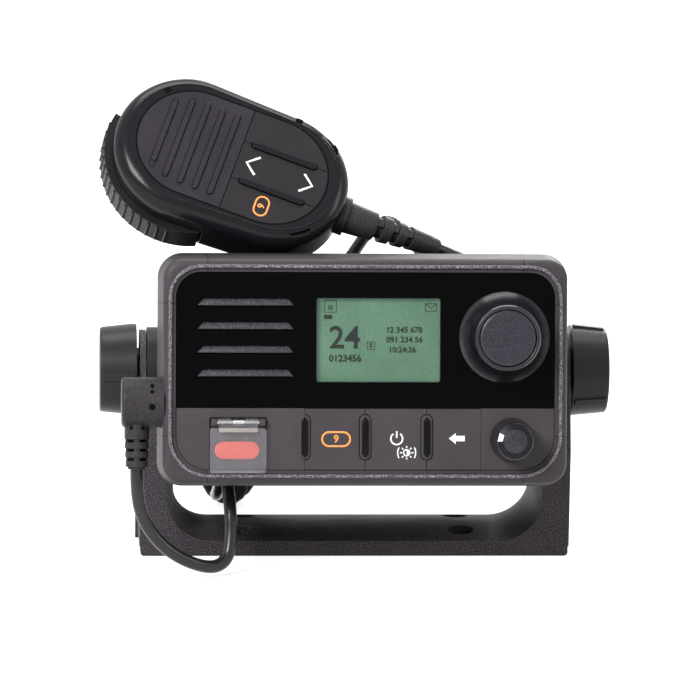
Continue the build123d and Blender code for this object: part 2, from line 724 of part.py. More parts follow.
# ---------------------------------------------------------------- rear connectors
with BuildPart() as antenna_connector:
    with BuildSketch(front(chassis_back)):
        with Locations((antenna_x, antenna_y)):
            RectangleRounded(antenna_plate, antenna_plate, antenna_flange)
    extrude(amount=-antenna_flange)
    with BuildSketch(front(chassis_back + chassis_wall)):
        with Locations((antenna_x, antenna_y)):
            Circle(antenna_seat)
    extrude(amount=-chassis_wall)
    with BuildSketch(front(chassis_back - antenna_flange)):
        with Locations((antenna_x, antenna_y)):
            Circle(antenna_barrel)
            Circle(antenna_core, mode=Mode.SUBTRACT)
    extrude(amount=-antenna_length)
    with BuildSketch(front(chassis_back - antenna_flange)):
        with Locations((antenna_x, antenna_y)):
            Circle(antenna_core)
            Circle(contact_radius, mode=Mode.SUBTRACT)
    extrude(amount=-antenna_core_length)
antenna_connector.part.label = "antenna_connector"
export_step(antenna_connector.part, "parts/antenna_connector.step")

with BuildPart() as gps_connector:
    with BuildSketch(front(chassis_back + chassis_wall)):
        with Locations((gps_x, gps_y)):
            Circle(gps_seat)
    extrude(amount=-chassis_wall)
    with BuildSketch(front(chassis_back)):
        with Locations((gps_x, gps_y)):
            RegularPolygon(gps_hex, 6)
    extrude(amount=-gps_hex_length)
    with BuildSketch(front(chassis_back - gps_hex_length)):
        with Locations((gps_x, gps_y)):
            Circle(gps_barrel)
            Circle(gps_contact, mode=Mode.SUBTRACT)
    extrude(amount=-gps_length)
gps_connector.part.label = "gps_connector"
export_step(gps_connector.part, "parts/gps_connector.step")

for port_name, port_x, port_y in (("power_cable_gland", power_x, power_y),
                                  ("network_connector", network_x, network_y)):
    with BuildPart() as port:
        with BuildSketch(front(chassis_back + chassis_wall)):
            with Locations((port_x, port_y)):
                Circle(gland_seat)
        extrude(amount=-chassis_wall)
        with BuildSketch(front(chassis_back)):
            with Locations((port_x, port_y)):
                RegularPolygon(gland_hex, 6)
        extrude(amount=-gland_hex_length)
        with BuildSketch(front(chassis_back - gland_hex_length)):
            with Locations((port_x, port_y)):
                Circle(gland_nose)
        extrude(amount=-gland_nose_length, taper=8)
        with BuildSketch(front(chassis_back - gland_hex_length - gland_nose_length)):
            with Locations((port_x, port_y)):
                Circle(gland_bore)
        extrude(amount=gland_bore_depth, mode=Mode.SUBTRACT)
    port.part.label = port_name
    export_step(port.part, f"parts/{port_name}.step")

# ---------------------------------------------------------------- bracket
bracket_width = bezel_width + 11.0
bracket_depth = 50.0
base_thickness = 6.1
arm_thickness = 11.0
inner_corner = 18.0
crown = 3.0                 # how far the inner faces bulge at mid depth
tab_thickness = 2.6
arm_foot = 44.0             # height to which the arms keep their full depth
tab_radius = 16.5
shoulder_height = 54.0      # the thick arm ends here and the thin tab goes on
hole_spacing_x = 89.0
hole_spacing_y = 26.0
hole_radius = 2.5
counterbore_radius = 5.5
counterbore_floor = 4.0
stud_clearance = 0.4
pad_length = 22.0
pad_width = 9.0
pad_proud = 1.6

half_width = bracket_width / 2
arm_inner = half_width - arm_thickness
tab_outer = half_width + 0.4
hole_spots = [(sx * hole_spacing_x / 2, sy * hole_spacing_y / 2)
              for sx in (-1, 1) for sy in (-1, 1)]
front_view = Plane(origin=(0, 0, 0), x_dir=(1, 0, 0), z_dir=(0, -1, 0))

with BuildPart() as bracket:
    # Crowned skin: a lens-shaped section swept round the inner U.
    with BuildLine(front_view) as inner_u:
        FilletPolyline((-arm_inner, shoulder_height), (-arm_inner, base_thickness),
                       (arm_inner, base_thickness), (arm_inner, shoulder_height),
                       radius=inner_corner)
    section_plane = Plane(origin=(-arm_inner, 0, shoulder_height), x_dir=(1, 0, 0),
                          z_dir=(0, 0, -1))
    with BuildSketch(section_plane):
        with BuildLine():
            ThreePointArc((0, -bracket_depth / 2), (crown, 0), (0, bracket_depth / 2))
            Polyline((0, bracket_depth / 2), (-2.0, bracket_depth / 2),
                     (-2.0, -bracket_depth / 2), (0, -bracket_depth / 2))
        make_face()
    sweep(path=inner_u.line)
    # Outer U, cut to the tapering side view.
    with BuildSketch(front_view):
        with Locations((0, shoulder_height / 2)):
            RectangleRounded(bracket_width, shoulder_height, 1.5)
        with BuildLine():
            FilletPolyline((-arm_inner, shoulder_height + 1), (-arm_inner, base_thickness),
                           (arm_inner, base_thickness), (arm_inner, shoulder_height + 1),
                           radius=inner_corner)
            Line((arm_inner, shoulder_height + 1), (-arm_inner, shoulder_height + 1))
        make_face(mode=Mode.SUBTRACT)
    extrude(amount=bracket_depth / 2, both=True)
    for side in (-1, 1):
        with BuildSketch(Plane.YZ.offset(side * tab_outer)):
            with Locations((0, axis_height)):
                Circle(tab_radius)
            with Locations((0, shoulder_height / 2 - 3.0)):
                Rectangle(bracket_depth, shoulder_height - 14.0)
            make_hull()
        extrude(amount=-side * tab_thickness)
    with BuildSketch(Plane.YZ):
        with Locations((0, axis_height)):
            Circle(tab_radius)
        with Locations((0, arm_foot / 2)):
            Rectangle(bracket_depth, arm_foot)
        make_hull()
    extrude(amount=bracket_width, both=True, mode=Mode.INTERSECT)
    for side in (-1, 1):
        with BuildSketch(Plane.YZ.offset(side * half_width)):
            with Locations((0, 13.0)):
                SlotOverall(pad_length, pad_width, rotation=90)
        extrude(amount=side * pad_proud)
        with BuildSketch(Plane.YZ.offset(side * (half_width - arm_thickness))):
            with Locations((0, axis_height)):
                Circle(stud_radius + stud_clearance)
        extrude(amount=side * 2 * arm_thickness, mode=Mode.SUBTRACT)
    with BuildSketch(Plane.XY):
        with Locations(*hole_spots):
            Circle(hole_radius)
    extrude(amount=base_thickness + crown, mode=Mode.SUBTRACT)
    with BuildSketch(Plane.XY.offset(counterbore_floor)):
        with Locations(*hole_spots):
            Circle(counterbore_radius)
    extrude(amount=base_thickness + crown, mode=Mode.SUBTRACT)
    # Lightening pockets under the base, with ribs between them.
    with BuildSketch(Plane.XY):
        with GridLocations(23.0, 1.0, 3, 1):
            Rectangle(20.5, bracket_depth - 6.0)
        with GridLocations(2 * 66.0, 1.0, 2, 1):
            Rectangle(22.0, bracket_depth - 6.0)
    extrude(amount=3.0, mode=Mode.SUBTRACT)
bracket.part.label = "bracket"
export_step(bracket.part, "parts/bracket.step")

# ---------------------------------------------------------------- clamp knobs
washer_thickness = 1.2
washer_radius = 9.0
clamp_base_radius = 18.8
clamp_top_radius = 17.35
clamp_width = 15.1
grip_width = 2.7
grip_proud = 0.8
grip_count = 3
stud_length = 15.0
hex_radius = 5.4
hex_thickness = 4.0
hex_start = 4.0             # moulded in this far behind the knob's inner face

knob_seat = tab_outer + washer_thickness
clamp_draft = degrees(atan2(clamp_base_radius - clamp_top_radius, clamp_width))

for side, hand, first_grip in ((-1, "left", 0.0), (1, "right", 33.0)):
    seat = Plane(origin=(side * knob_seat, 0, axis_height), x_dir=(0, -1, 0), z_dir=(side, 0, 0))
    with BuildPart() as clamp_washer:
        with BuildSketch(seat):
            Circle(washer_radius)
            Circle(stud_radius + running_gap, mode=Mode.SUBTRACT)
        extrude(amount=-washer_thickness)
    clamp_washer.part.label = f"{hand}_knob_washer"
    export_step(clamp_washer.part, f"parts/{hand}_knob_washer.step")

    with BuildPart() as clamp_stud:
        with BuildSketch(seat.offset(hex_start)):
            Circle(stud_radius)
        extrude(amount=-stud_length - hex_start)
        with BuildSketch(seat.offset(hex_start)):
            RegularPolygon(hex_radius, 6)
        extrude(amount=hex_thickness)
    clamp_stud.part.label = f"{hand}_knob_stud"
    export_step(clamp_stud.part, f"parts/{hand}_knob_stud.step")

    with BuildPart() as clamp_knob:
        with BuildSketch(seat):
            Circle(clamp_base_radius)
        extrude(amount=clamp_width, taper=clamp_draft)
        for i in range(grip_count):
            turn = radians(first_grip + 360.0 / grip_count * i)
            tangent = seat.y_dir * cos(turn) - seat.x_dir * sin(turn)
            with BuildSketch(Plane(origin=seat.origin, x_dir=seat.z_dir, z_dir=tangent)):
                with BuildLine():
                    Polyline((1.0, clamp_base_radius - 3), (1.0, clamp_base_radius + grip_proud),
                             (clamp_width - 1.2, clamp_top_radius + grip_proud),
                             (clamp_width - 1.2, clamp_top_radius - 3), close=True)
                make_face()
            extrude(amount=grip_width / 2, both=True)
        fillet(clamp_knob.faces().sort_by(Axis.X)[-1 if side > 0 else 0].edges(), 1.0)
        with BuildSketch(seat):
            Circle(stud_radius + 0.02)
        extrude(amount=hex_start, mode=Mode.SUBTRACT)
        with BuildSketch(seat.offset(hex_start)):
            RegularPolygon(hex_radius + 0.02, 6)
        extrude(amount=hex_thickness + 0.02, mode=Mode.SUBTRACT)
    clamp_knob.part.label = f"{hand}_clamp_knob"
    export_step(clamp_knob.part, f"parts/{hand}_clamp_knob.step")

# ---------------------------------------------------------------- cord boot on the bezel's side
cord_radius = 2.65
boot_reach = 14.5           # boot's cap beyond the bezel's side
relief_reach = 8.3
relief_bottom = -37.5
relief_length = 14.5
relief_pitch = 3.7
relief_ring = 2.4
relief_top_radius = 5.0
relief_end_radius = 4.3

boot_outer_x = -bezel_width / 2 - boot_reach
relief_x = -bezel_width / 2 - relief_reach
boot_inner_x = -bezel_width / 2 + boot_seat_depth
relief_start_y = relief_bottom + relief_length
with BuildPart() as cord_boot:
    with BuildSketch(facing(boot_outer_x, boot_y, boot_z, (1, 0, 0))):
        Circle(boot_radius)
    extrude(amount=boot_inner_x - boot_outer_x)
    fillet(cord_boot.faces().sort_by(Axis.X)[0].edges(), 1.5)
    with BuildSketch(facing(relief_x, boot_y, boot_z, (0, -1, 0))):
        Circle(relief_top_radius)
    extrude(amount=boot_y - relief_start_y)
cord_boot.part.label = "cord_boot"
export_step(cord_boot.part, "parts/cord_boot.step")

relief_rings = 4
with BuildPart() as cord_relief:
    with BuildSketch(facing(relief_x, relief_start_y, boot_z, (0, -1, 0))):
        Circle(cord_radius + 0.9)
    extrude(amount=relief_start_y - relief_bottom)
    for i in range(relief_rings):
        ring_radius = relief_top_radius - (relief_top_radius - relief_end_radius) * i / relief_rings
        with BuildSketch(facing(relief_x, relief_start_y - relief_pitch * i, boot_z, (0, -1, 0))):
            Circle(ring_radius)
        extrude(amount=relief_ring)
cord_relief.part.label = "cord_relief"
export_step(cord_relief.part, "parts/cord_relief.step")

# ---------------------------------------------------------------- handset
handset_lean = 35.0         # the face looks this far up
handset_yaw = 7.8
handset_roll = 23.6
handset_centre = (-53.8, -22.06, 158.49)
big_end_radius = 31.3
big_end_x = -17.0
small_end_radius = 29.8
small_end_x = 19.4
front_depth = 14.0
back_depth = 15.0
rim_round = 6.4
wall = 2.4
plate_length = 79.0
plate_height = 47.0
plate_thickness = 1.2
divider_x = 2.0
rib_count = 5
rib_pitch = 6.42
rib_first_x = -29.4
rib_width = 2.0
rib_proud = 0.8
rib_margin = 4.2
bar_y = 8.6
bar_low_x = 5.7
bar_high_x = 33.1
bar_width = 2.5
hand_key_travel = 0.4
hand_key_depth = 0.8
ptt_proud = 3.0
ptt_depth = 2.6             # channel cut into the shell's side
ptt_low = -11.0
ptt_high = 1.5
ptt_start = 168.0           # the lever runs round the big end between these angles
ptt_end = 296.0
pin_radius = 1.2

lean = radians(handset_lean)
yaw = radians(handset_yaw)
roll = radians(handset_roll)
level_dir = Vector(cos(yaw), sin(yaw), 0)
face_dir = Vector(sin(yaw) * cos(lean), -cos(yaw) * cos(lean), sin(lean))
HANDSET = Plane(
    origin=handset_centre,
    x_dir=level_dir * cos(roll) - face_dir.cross(level_dir) * sin(roll),
    z_dir=face_dir,
)
out_of_face = Axis(HANDSET.origin, HANDSET.z_dir)


def hand(distance):
    """The plane parallel to the handset's face, this far in front of its parting line."""
    return HANDSET.offset(distance)


def egg(plane, big, small):
    """The handset's outline, with the radii of its two ends."""
    with BuildSketch(plane) as outline:
        with Locations((big_end_x, 0)):
            Circle(big)
        with Locations((small_end_x, 0)):
            Circle(small)
        make_hull()
    return outline.sketch


def plate_outline(plane, margin):
    """The face plate's stadium outline, grown by a margin."""
    with BuildSketch(plane) as outline:
        SlotOverall(plate_length + 2 * margin, plate_height + 2 * margin)
    return outline.sketch


def ptt_sector(plane, inner, outer, start, end):
    """A ring sector round the big end, between two radii and two angles."""
    middle = radians((start + end) / 2)
    with BuildSketch(plane) as sector:
        with BuildLine():
            centre = Vector(big_end_x, 0)
            first, last = radians(start), radians(end)

            def spot(radius, angle):
                return centre + Vector(radius * cos(angle), radius * sin(angle))

            ThreePointArc(spot(outer, first), spot(outer, middle), spot(outer, last))
            Line(spot(outer, last), spot(inner, last))
            ThreePointArc(spot(inner, last), spot(inner, middle), spot(inner, first))
            Line(spot(inner, first), spot(outer, first))
        make_face()
    return sector.sketch


socket_x = small_end_x + small_end_radius
root_radius = 8.0
root_length = 2.5           # root block outside the shell
root_z = -0.5
relief_core_start = 4.6
relief_core_end = 3.4
relief_sleeve_start = 6.6
relief_sleeve_end = 3.9
relief_bands = [(0.0, 0.28), (0.35, 0.44), (0.51, 0.60), (0.67, 1.0)]     # shares of its length
cavity_end = small_end_x + small_end_radius - wall
socket_plane = Plane(origin=HANDSET.from_local_coords(Vector(socket_x, 0, root_z)),
                     z_dir=HANDSET.x_dir)
channel_floor = big_end_radius - ptt_depth
cavity_big = channel_floor - wall
cavity_small = small_end_radius - wall
hand_screws = [(-26, 18), (-26, -18), (31, 15), (31, -15)]
pin_angle = radians(ptt_end - 4.0)
pin_ring = channel_floor + ptt_depth / 2 + 1.4
pin_x = big_end_x + pin_ring * cos(pin_angle)
pin_y = pin_ring * sin(pin_angle)
key_zone_x = (divider_x + plate_length / 2) / 2 + 2.0
hand_keys = {"handset_power_key": 15.6, "handset_rocker_key": 0.0, "handset_channel_key": -15.6}
stem_radius = 2.2
recess_floor = front_depth - plate_thickness

with BuildPart() as handset_front_shell:
    extrude(egg(hand(0), big_end_radius, small_end_radius), amount=front_depth)
    fillet(handset_front_shell.faces().sort_by(out_of_face)[-1].edges(), rim_round)
    extrude(egg(hand(0), cavity_big, cavity_small), amount=recess_floor - 2.3, mode=Mode.SUBTRACT)
    extrude(plate_outline(hand(recess_floor), part_gap), amount=front_depth, mode=Mode.SUBTRACT)
    with BuildSketch(hand(recess_floor - hand_key_depth)):
        with Locations(((divider_x + plate_length / 2) / 2, 0)):
            Rectangle(plate_length / 2 - divider_x, plate_height)
    extrude(amount=plate_thickness, mode=Mode.SUBTRACT)
    with BuildSketch(hand(recess_floor - hand_key_depth - 0.1)):
        with Locations(*[((bar_low_x + bar_high_x) / 2, s * bar_y) for s in (-1, 1)]):
            SlotOverall(bar_high_x - bar_low_x, bar_width)
    extrude(amount=hand_key_depth + 0.1 + plate_thickness + 0.7)
    with BuildSketch(hand(0)):
        with Locations(*[(key_zone_x, y) for y in hand_keys.values()]):
            Circle(stem_radius + part_gap)
        with Locations((big_end_x + 5.0, 0)):
            Circle(5.0)
    extrude(amount=front_depth, mode=Mode.SUBTRACT)
    extrude(ptt_sector(hand(0), channel_floor, big_end_radius + 9.0, ptt_start - 5.0, ptt_end + 1.5),
            amount=ptt_high + 0.5, mode=Mode.SUBTRACT)
    with BuildSketch(hand(0)):
        with Locations(*hand_screws):
            Circle(3.2)
    extrude(amount=recess_floor - 2.0)
    with BuildSketch(hand(0)):
        with Locations(*hand_screws):
            Circle(1.2 + running_gap)
        with Locations((pin_x, pin_y)):
            Circle(pin_radius + 0.02)
    extrude(amount=6.0, mode=Mode.SUBTRACT)
    with BuildSketch(socket_plane):
        Circle(root_radius + running_gap)
    extrude(amount=root_radius, both=True, mode=Mode.SUBTRACT)
handset_front_shell.part.label = "handset_front_shell"
export_step(handset_front_shell.part, "parts/handset_front_shell.step")

with BuildPart() as handset_back_shell:
    extrude(egg(hand(0), big_end_radius, small_end_radius), amount=-back_depth)
    fillet(handset_back_shell.faces().sort_by(out_of_face)[0].edges(), rim_round + 3.0)
    extrude(egg(hand(0), cavity_big, cavity_small), amount=-(back_depth - wall - 2.0),
            mode=Mode.SUBTRACT)
    extrude(ptt_sector(hand(0), channel_floor, big_end_radius + 9.0, ptt_start - 5.0, ptt_end + 1.5),
            amount=ptt_low - 0.5, mode=Mode.SUBTRACT)
    with BuildSketch(hand(0)):
        with Locations(*hand_screws):
            Circle(3.2)
    extrude(amount=-(back_depth - wall))
    with BuildSketch(hand(0)):
        with Locations(*hand_screws):
            Circle(1.2 + running_gap)
    extrude(amount=-back_depth, mode=Mode.SUBTRACT)
    with BuildSketch(hand(-back_depth)):
        with Locations(*hand_screws):
            Circle(2.5)
        Circle(3.0 + running_gap)
    extrude(amount=2.2, mode=Mode.SUBTRACT)
    with BuildSketch(hand(0)):
        with Locations((pin_x, pin_y)):
            Circle(pin_radius + 0.02)
    extrude(amount=ptt_low - 2.0, mode=Mode.SUBTRACT)
    with BuildSketch(socket_plane):
        Circle(root_radius + running_gap)
    extrude(amount=root_radius, both=True, mode=Mode.SUBTRACT)
handset_back_shell.part.label = "handset_back_shell"
export_step(handset_back_shell.part, "parts/handset_back_shell.step")

with BuildPart() as handset_grille:
    extrude(plate_outline(hand(recess_floor), 0), amount=plate_thickness)
    with BuildSketch(hand(recess_floor)):
        with Locations((divider_x - plate_length / 2, 0)):
            Rectangle(plate_length, plate_height + 2)
    extrude(amount=plate_thickness, mode=Mode.INTERSECT)
    with BuildSketch(hand(front_depth - 0.1)):
        for i in range(rib_count):
            rib_x = rib_first_x + rib_pitch * i
            end_offset = min(0.0, rib_x + plate_length / 2 - plate_height / 2)
            reach = sqrt((plate_height / 2 - rib_margin) ** 2 - end_offset ** 2)
            with Locations((rib_x, 0)):
                SlotOverall(2 * reach, rib_width, rotation=90)
    extrude(amount=rib_proud + 0.1)
handset_grille.part.label = "handset_grille"
export_step(handset_grille.part, "parts/handset_grille.step")

key_bands = {"handset_power_key": (bar_y, plate_height), "handset_rocker_key": (-bar_y, bar_y),
             "handset_channel_key": (-plate_height, -bar_y)}
for key_name, (low, high) in key_bands.items():
    with BuildPart() as hand_key:
        extrude(plate_outline(hand(recess_floor), 0), amount=plate_thickness)
        with BuildSketch(hand(recess_floor)):
            with Locations(((divider_x + plate_length) / 2, (low + high) / 2)):
                Rectangle(plate_length - divider_x - 0.3, high - low - 0.25)
            with Locations(*[((bar_low_x + bar_high_x) / 2, s * bar_y) for s in (-1, 1)]):
                SlotOverall(bar_high_x - bar_low_x + 0.5, bar_width + 0.5, mode=Mode.SUBTRACT)
        extrude(amount=plate_thickness, mode=Mode.INTERSECT)
        with BuildSketch(hand(recess_floor - 3.6)):
            with Locations((key_zone_x, hand_keys[key_name])):
                Circle(stem_radius)
        extrude(amount=3.7)
    hand_key.part.label = key_name
    export_step(hand_key.part, f"parts/{key_name}.step")

hand_board_front = recess_floor - 3.6 - hand_key_travel - 0.1
with BuildPart() as handset_board:
    extrude(egg(hand(hand_board_front - board_thickness), cavity_big - 0.5, cavity_small - 0.5),
            amount=board_thickness)
    with BuildSketch(hand(hand_board_front - board_thickness)):
        with Locations(*hand_screws):
            Circle(3.4)
        with Locations((big_end_x + 5.0, 0)):
            Circle(5.2)
    extrude(amount=board_thickness, mode=Mode.SUBTRACT)
handset_board.part.label = "handset_board"
export_step(handset_board.part, "parts/handset_board.step")

with BuildPart() as microphone_capsule:
    with BuildSketch(hand(recess_floor - 6.5)):
        with Locations((big_end_x + 5.0, 0)):
            Circle(4.9)
    extrude(amount=6.3)
microphone_capsule.part.label = "microphone_capsule"
export_step(microphone_capsule.part, "parts/microphone_capsule.step")

with BuildPart() as ptt_lever:
    extrude(ptt_sector(hand(ptt_low), big_end_radius - 0.2, big_end_radius + ptt_proud,
                       ptt_start, ptt_end), amount=ptt_high - ptt_low)
    with BuildSketch(hand(ptt_low)):
        with Locations((pin_x, pin_y)):
            Circle(pin_radius + 1.1)
    extrude(amount=ptt_high - ptt_low)
    with BuildSketch(hand(ptt_low)):
        with Locations((pin_x, pin_y)):
            Circle(pin_radius + running_gap)
    extrude(amount=ptt_high - ptt_low, mode=Mode.SUBTRACT)
    grip_step = (ptt_end - ptt_start - 30) / 15
    for i in range(16):
        ridge = radians(ptt_start + 8 + grip_step * i)
        with BuildSketch(hand(ptt_low + 1.0)):
            with Locations((big_end_x + (big_end_radius + ptt_proud) * cos(ridge),
                            (big_end_radius + ptt_proud) * sin(ridge))):
                Circle(0.7)
        extrude(amount=ptt_high - ptt_low - 2.0)
ptt_lever.part.label = "ptt_lever"
export_step(ptt_lever.part, "parts/ptt_lever.step")

with BuildPart() as ptt_pin:
    with BuildSketch(hand(ptt_low - 1.9)):
        with Locations((pin_x, pin_y)):
            Circle(pin_radius)
    extrude(amount=ptt_high - ptt_low + 5.5)
ptt_pin.part.label = "ptt_pin"
export_step(ptt_pin.part, "parts/ptt_pin.step")

with BuildPart() as handset_screws:
    with BuildSketch(hand(-back_depth + 0.4)):
        with Locations(*hand_screws):
            Circle(2.4)
    extrude(amount=1.8)
    with BuildSketch(hand(-back_depth + 2.2)):
        with Locations(*hand_screws):
            Circle(1.2)
    extrude(amount=back_depth + 3.0)
handset_screws.part.label = "handset_screws"
export_step(handset_screws.part, "parts/handset_screws.step")

with BuildPart() as hang_button:
    with BuildSketch(hand(-back_depth + 2.2)):
        Circle(3.0)
    extrude(amount=-5.2)
    with BuildSketch(hand(-back_depth - 3.0)):
        Circle(7.0)
    extrude(amount=-2.5)
    fillet(hang_button.faces().sort_by(out_of_face)[0].edges(), 1.0)
hang_button.part.label = "hang_button"
export_step(hang_button.part, "parts/hang_button.step")

# ---------------------------------------------------------------- cord route and strain relief
coil_radius = 12.0
lead_start = RADIO.from_local_coords(Vector(relief_x, relief_bottom, boot_z))
lead_points = [
    tuple(lead_start),
    tuple(RADIO.from_local_coords(Vector(relief_x, relief_bottom - 10.0, boot_z))),
    (-88.0, -71.8, 24.5),
    (-80.5, -71.5, 13.5),
    (-71.0, -70.0, 6.8),
    (-61.5, -67.0, 3.4),
    (-54.8, -62.0, 6.8),
    (-52.8, -57.0, 15.5),
    (-52.8, -53.0, 25.0),
    (-53.0, -47.7, 31.6),
    (-53.4, -40.2, 35.5),
    (-53.9, -31.6, 36.1),
    (-54.4, -22.4, 33.6),
    (-54.9, -11.6, 28.2),
    (-55.3, 0.8, 21.6),
    (-55.6, 14.8, 16.6),
    (-55.4, 32.0, 13.4),
    (-54.6, 51.0, 12.1),
    (-54.9, 66.0, 12.4),
]
coil_points = [
    (-54.9, 66.0, 12.4),
    (-55.2, 81.0, 12.7),
    (-54.0, 97.0, 17.0),
    (-46.5, 106.5, 31.0),
    (-33.5, 107.5, 50.0),
    (-18.5, 103.5, 69.0),
    (-4.5, 98.5, 88.0),
    (6.0, 94.0, 106.0),
]
tail_points = [
    (6.0, 94.0, 106.0),
    (10.53, 92.06, 113.77),
    (15.2, 87.7, 119.4),
    (20.2, 80.6, 122.4),
    (25.2, 72.0, 120.4),
    (29.6, 61.0, 115.2),
    (33.8, 48.5, 111.6),
    (38.2, 33.5, 111.6),
    (42.2, 17.5, 114.4),
    (44.5, 5.0, 116.9),
    (44.3, -4.4, 119.7),
    (40.0, -12.2, 123.1),
    (31.5, -17.0, 127.2),
]
tail_start = Vector(*tail_points[-1])
tail_heading = Vector(*tail_points[-2]) - tail_start

root_outer = HANDSET.from_local_coords(Vector(socket_x + root_length, 0, root_z))
with BuildPart() as handset_relief:
    with BuildSketch(socket_plane.offset(cavity_end + 0.2 - socket_x)):
        Circle(root_radius)
    extrude(amount=socket_x + root_length - cavity_end - 0.2)
    with BuildLine(mode=Mode.PRIVATE):
        relief_span = Spline(root_outer, tail_start, tangents=[HANDSET.x_dir, tail_heading])
    for i in range(4):
        with BuildSketch(Plane(origin=relief_span @ (i / 3), z_dir=relief_span % (i / 3))):
            Circle(relief_core_start + (relief_core_end - relief_core_start) * i / 3)
    loft()
    for band_start, band_end in relief_bands:
        for where in (band_start, (band_start + band_end) / 2, band_end):
            with BuildSketch(Plane(origin=relief_span @ where, z_dir=relief_span % where)):
                Circle(relief_sleeve_start + (relief_sleeve_end - relief_sleeve_start) * where)
        loft()
handset_relief.part.label = "handset_relief"
export_step(handset_relief.part, "parts/handset_relief.step")

# ---------------------------------------------------------------- cord
def bend_radii(points):
    """The largest tangent arc at each corner that its two runs allow."""
    radii = []
    for before, here, after in zip(points, points[1:], points[2:]):
        first, second = Vector(*here) - Vector(*before), Vector(*after) - Vector(*here)
        turn = radians(first.get_angle(second))
        radii.append(0.45 * min(first.length, second.length) / tan(turn / 2))
    return radii


for cord_name, points, radius in (("cord_lead", lead_points, cord_radius),
                                  ("cord_coil", coil_points, coil_radius),
                                  ("cord_tail", tail_points, cord_radius)):
    radii = bend_radii(points)
    with BuildPart() as cord_piece:
        with BuildLine():
            route = FilletPolyline(*points, radius=radii)
        with BuildSketch(route ^ 0):
            Circle(radius)
        sweep()
    expected = pi * radius ** 2 * route.length
    print(cord_name, "length", round(route.length, 1), "volume ratio",
          round(cord_piece.part.volume / expected, 4), "radii", [round(r, 1) for r in radii])
    cord_piece.part.label = cord_name
    export_step(cord_piece.part, f"parts/{cord_name}.step")
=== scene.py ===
import json
from math import cos, radians, sin, tau

import bmesh
import bpy
from mathutils import Matrix, Vector


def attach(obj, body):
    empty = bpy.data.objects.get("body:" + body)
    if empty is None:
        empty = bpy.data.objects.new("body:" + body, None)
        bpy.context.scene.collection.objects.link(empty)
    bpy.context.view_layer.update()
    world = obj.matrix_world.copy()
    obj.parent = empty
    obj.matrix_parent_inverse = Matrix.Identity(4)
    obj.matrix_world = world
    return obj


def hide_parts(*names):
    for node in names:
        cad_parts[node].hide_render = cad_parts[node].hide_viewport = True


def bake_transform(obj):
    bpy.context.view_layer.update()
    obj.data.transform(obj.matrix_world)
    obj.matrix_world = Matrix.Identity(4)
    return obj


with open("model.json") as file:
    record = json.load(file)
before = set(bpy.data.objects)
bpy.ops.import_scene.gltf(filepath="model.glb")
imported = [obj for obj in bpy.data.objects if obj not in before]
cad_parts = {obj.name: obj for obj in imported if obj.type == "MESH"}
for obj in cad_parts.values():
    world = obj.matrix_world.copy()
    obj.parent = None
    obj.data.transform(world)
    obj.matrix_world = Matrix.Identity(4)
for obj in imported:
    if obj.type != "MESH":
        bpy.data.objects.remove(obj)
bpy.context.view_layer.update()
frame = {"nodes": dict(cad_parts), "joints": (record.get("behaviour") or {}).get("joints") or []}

# ---------------------------------------------------------------- frames of the two housings

joints = {joint["name"]: joint for joint in frame["joints"]}


def axes(x, y, z, origin):
    """A matrix from millimetres along three directions to metres in the shared frame."""
    matrix = Matrix((x, y, z)).transposed().to_4x4()
    matrix.translation = origin
    return matrix @ Matrix.Scale(0.001, 4)


forward = Vector(joints["menu_knob_turn"]["axis"]).normalized()
radio_up = forward.cross(Vector((1, 0, 0)))
RADIO = axes(Vector((1, 0, 0)), radio_up, forward, Vector(joints["radio_tilt"]["pos_m"]))

hand_face = -Vector(joints["handset_power_press"]["axis"]).normalized()
hand_up = Vector(joints["handset_rocker_tip"]["axis"]).normalized()
hand_along = hand_up.cross(hand_face)
rocker_along, rocker_front = 0.02075, 0.0128      # the rocker's axis from the microphone's middle
hand_origin = (Vector(joints["handset_rocker_tip"]["pos_m"])
               - hand_along * rocker_along - hand_face * rocker_front)
HANDSET = axes(hand_along, hand_up, hand_face, hand_origin)

# Places in the radio's own frame, in millimetres.
bezel_middle = 2.6
window_x, window_y, window_half_width, window_half_height = 5.1, 14.4, 24.6, 16.6
key_front, light_bar_y, light_bar_places = 72.53, -24.25, (-24.3, -0.1, 24.5)
cover_x, cover_front = -50.7, 75.15
volume_x, volume_y, crown_middle = 58.5, -25.1, 86.95
boot_y, boot_z, boot_radius, dimple_x = -10.8, 64, 10.0, -84.9
relief_x = -90.8
relief_gaps = {i: -23.0 - 3.7 * i + 0.65 for i in range(1, 4)}

# Places in the microphone's own frame, in millimetres.
plate_front, line_front = 14.03, 13.98

# ---------------------------------------------------------------- camera and light

camera = bpy.data.objects.new("camera", bpy.data.cameras.new("camera"))
bpy.context.scene.collection.objects.link(camera)
bpy.context.scene.camera = camera
camera.data.sensor_width = 36
camera.data.lens = 245.0
target = Vector((-0.00142, 0, 0.08133))
azimuth, elevation, roll, distance = radians(-4.01), radians(10.82), radians(0.89), 1.967
camera.location = target + distance * Vector((sin(azimuth) * cos(elevation),
                                              -cos(azimuth) * cos(elevation), sin(elevation)))
aim = (target - camera.location).to_track_quat("-Z", "Y").to_matrix()
camera.rotation_euler = (aim @ Matrix.Rotation(roll, 3, "Z")).to_euler()
bpy.context.scene.view_settings.view_transform = "Standard"


def soft_box(name, place, aim_at, size, power):
    """A rectangular studio lamp."""
    light = bpy.data.lights.new(name, "AREA")
    light.shape = "RECTANGLE"
    light.size, light.size_y = size
    light.energy = power
    lamp = bpy.data.objects.new(name, light)
    bpy.context.scene.collection.objects.link(lamp)
    lamp.location = place
    lamp.rotation_euler = (Vector(aim_at) - lamp.location).to_track_quat("-Z", "Y").to_euler()


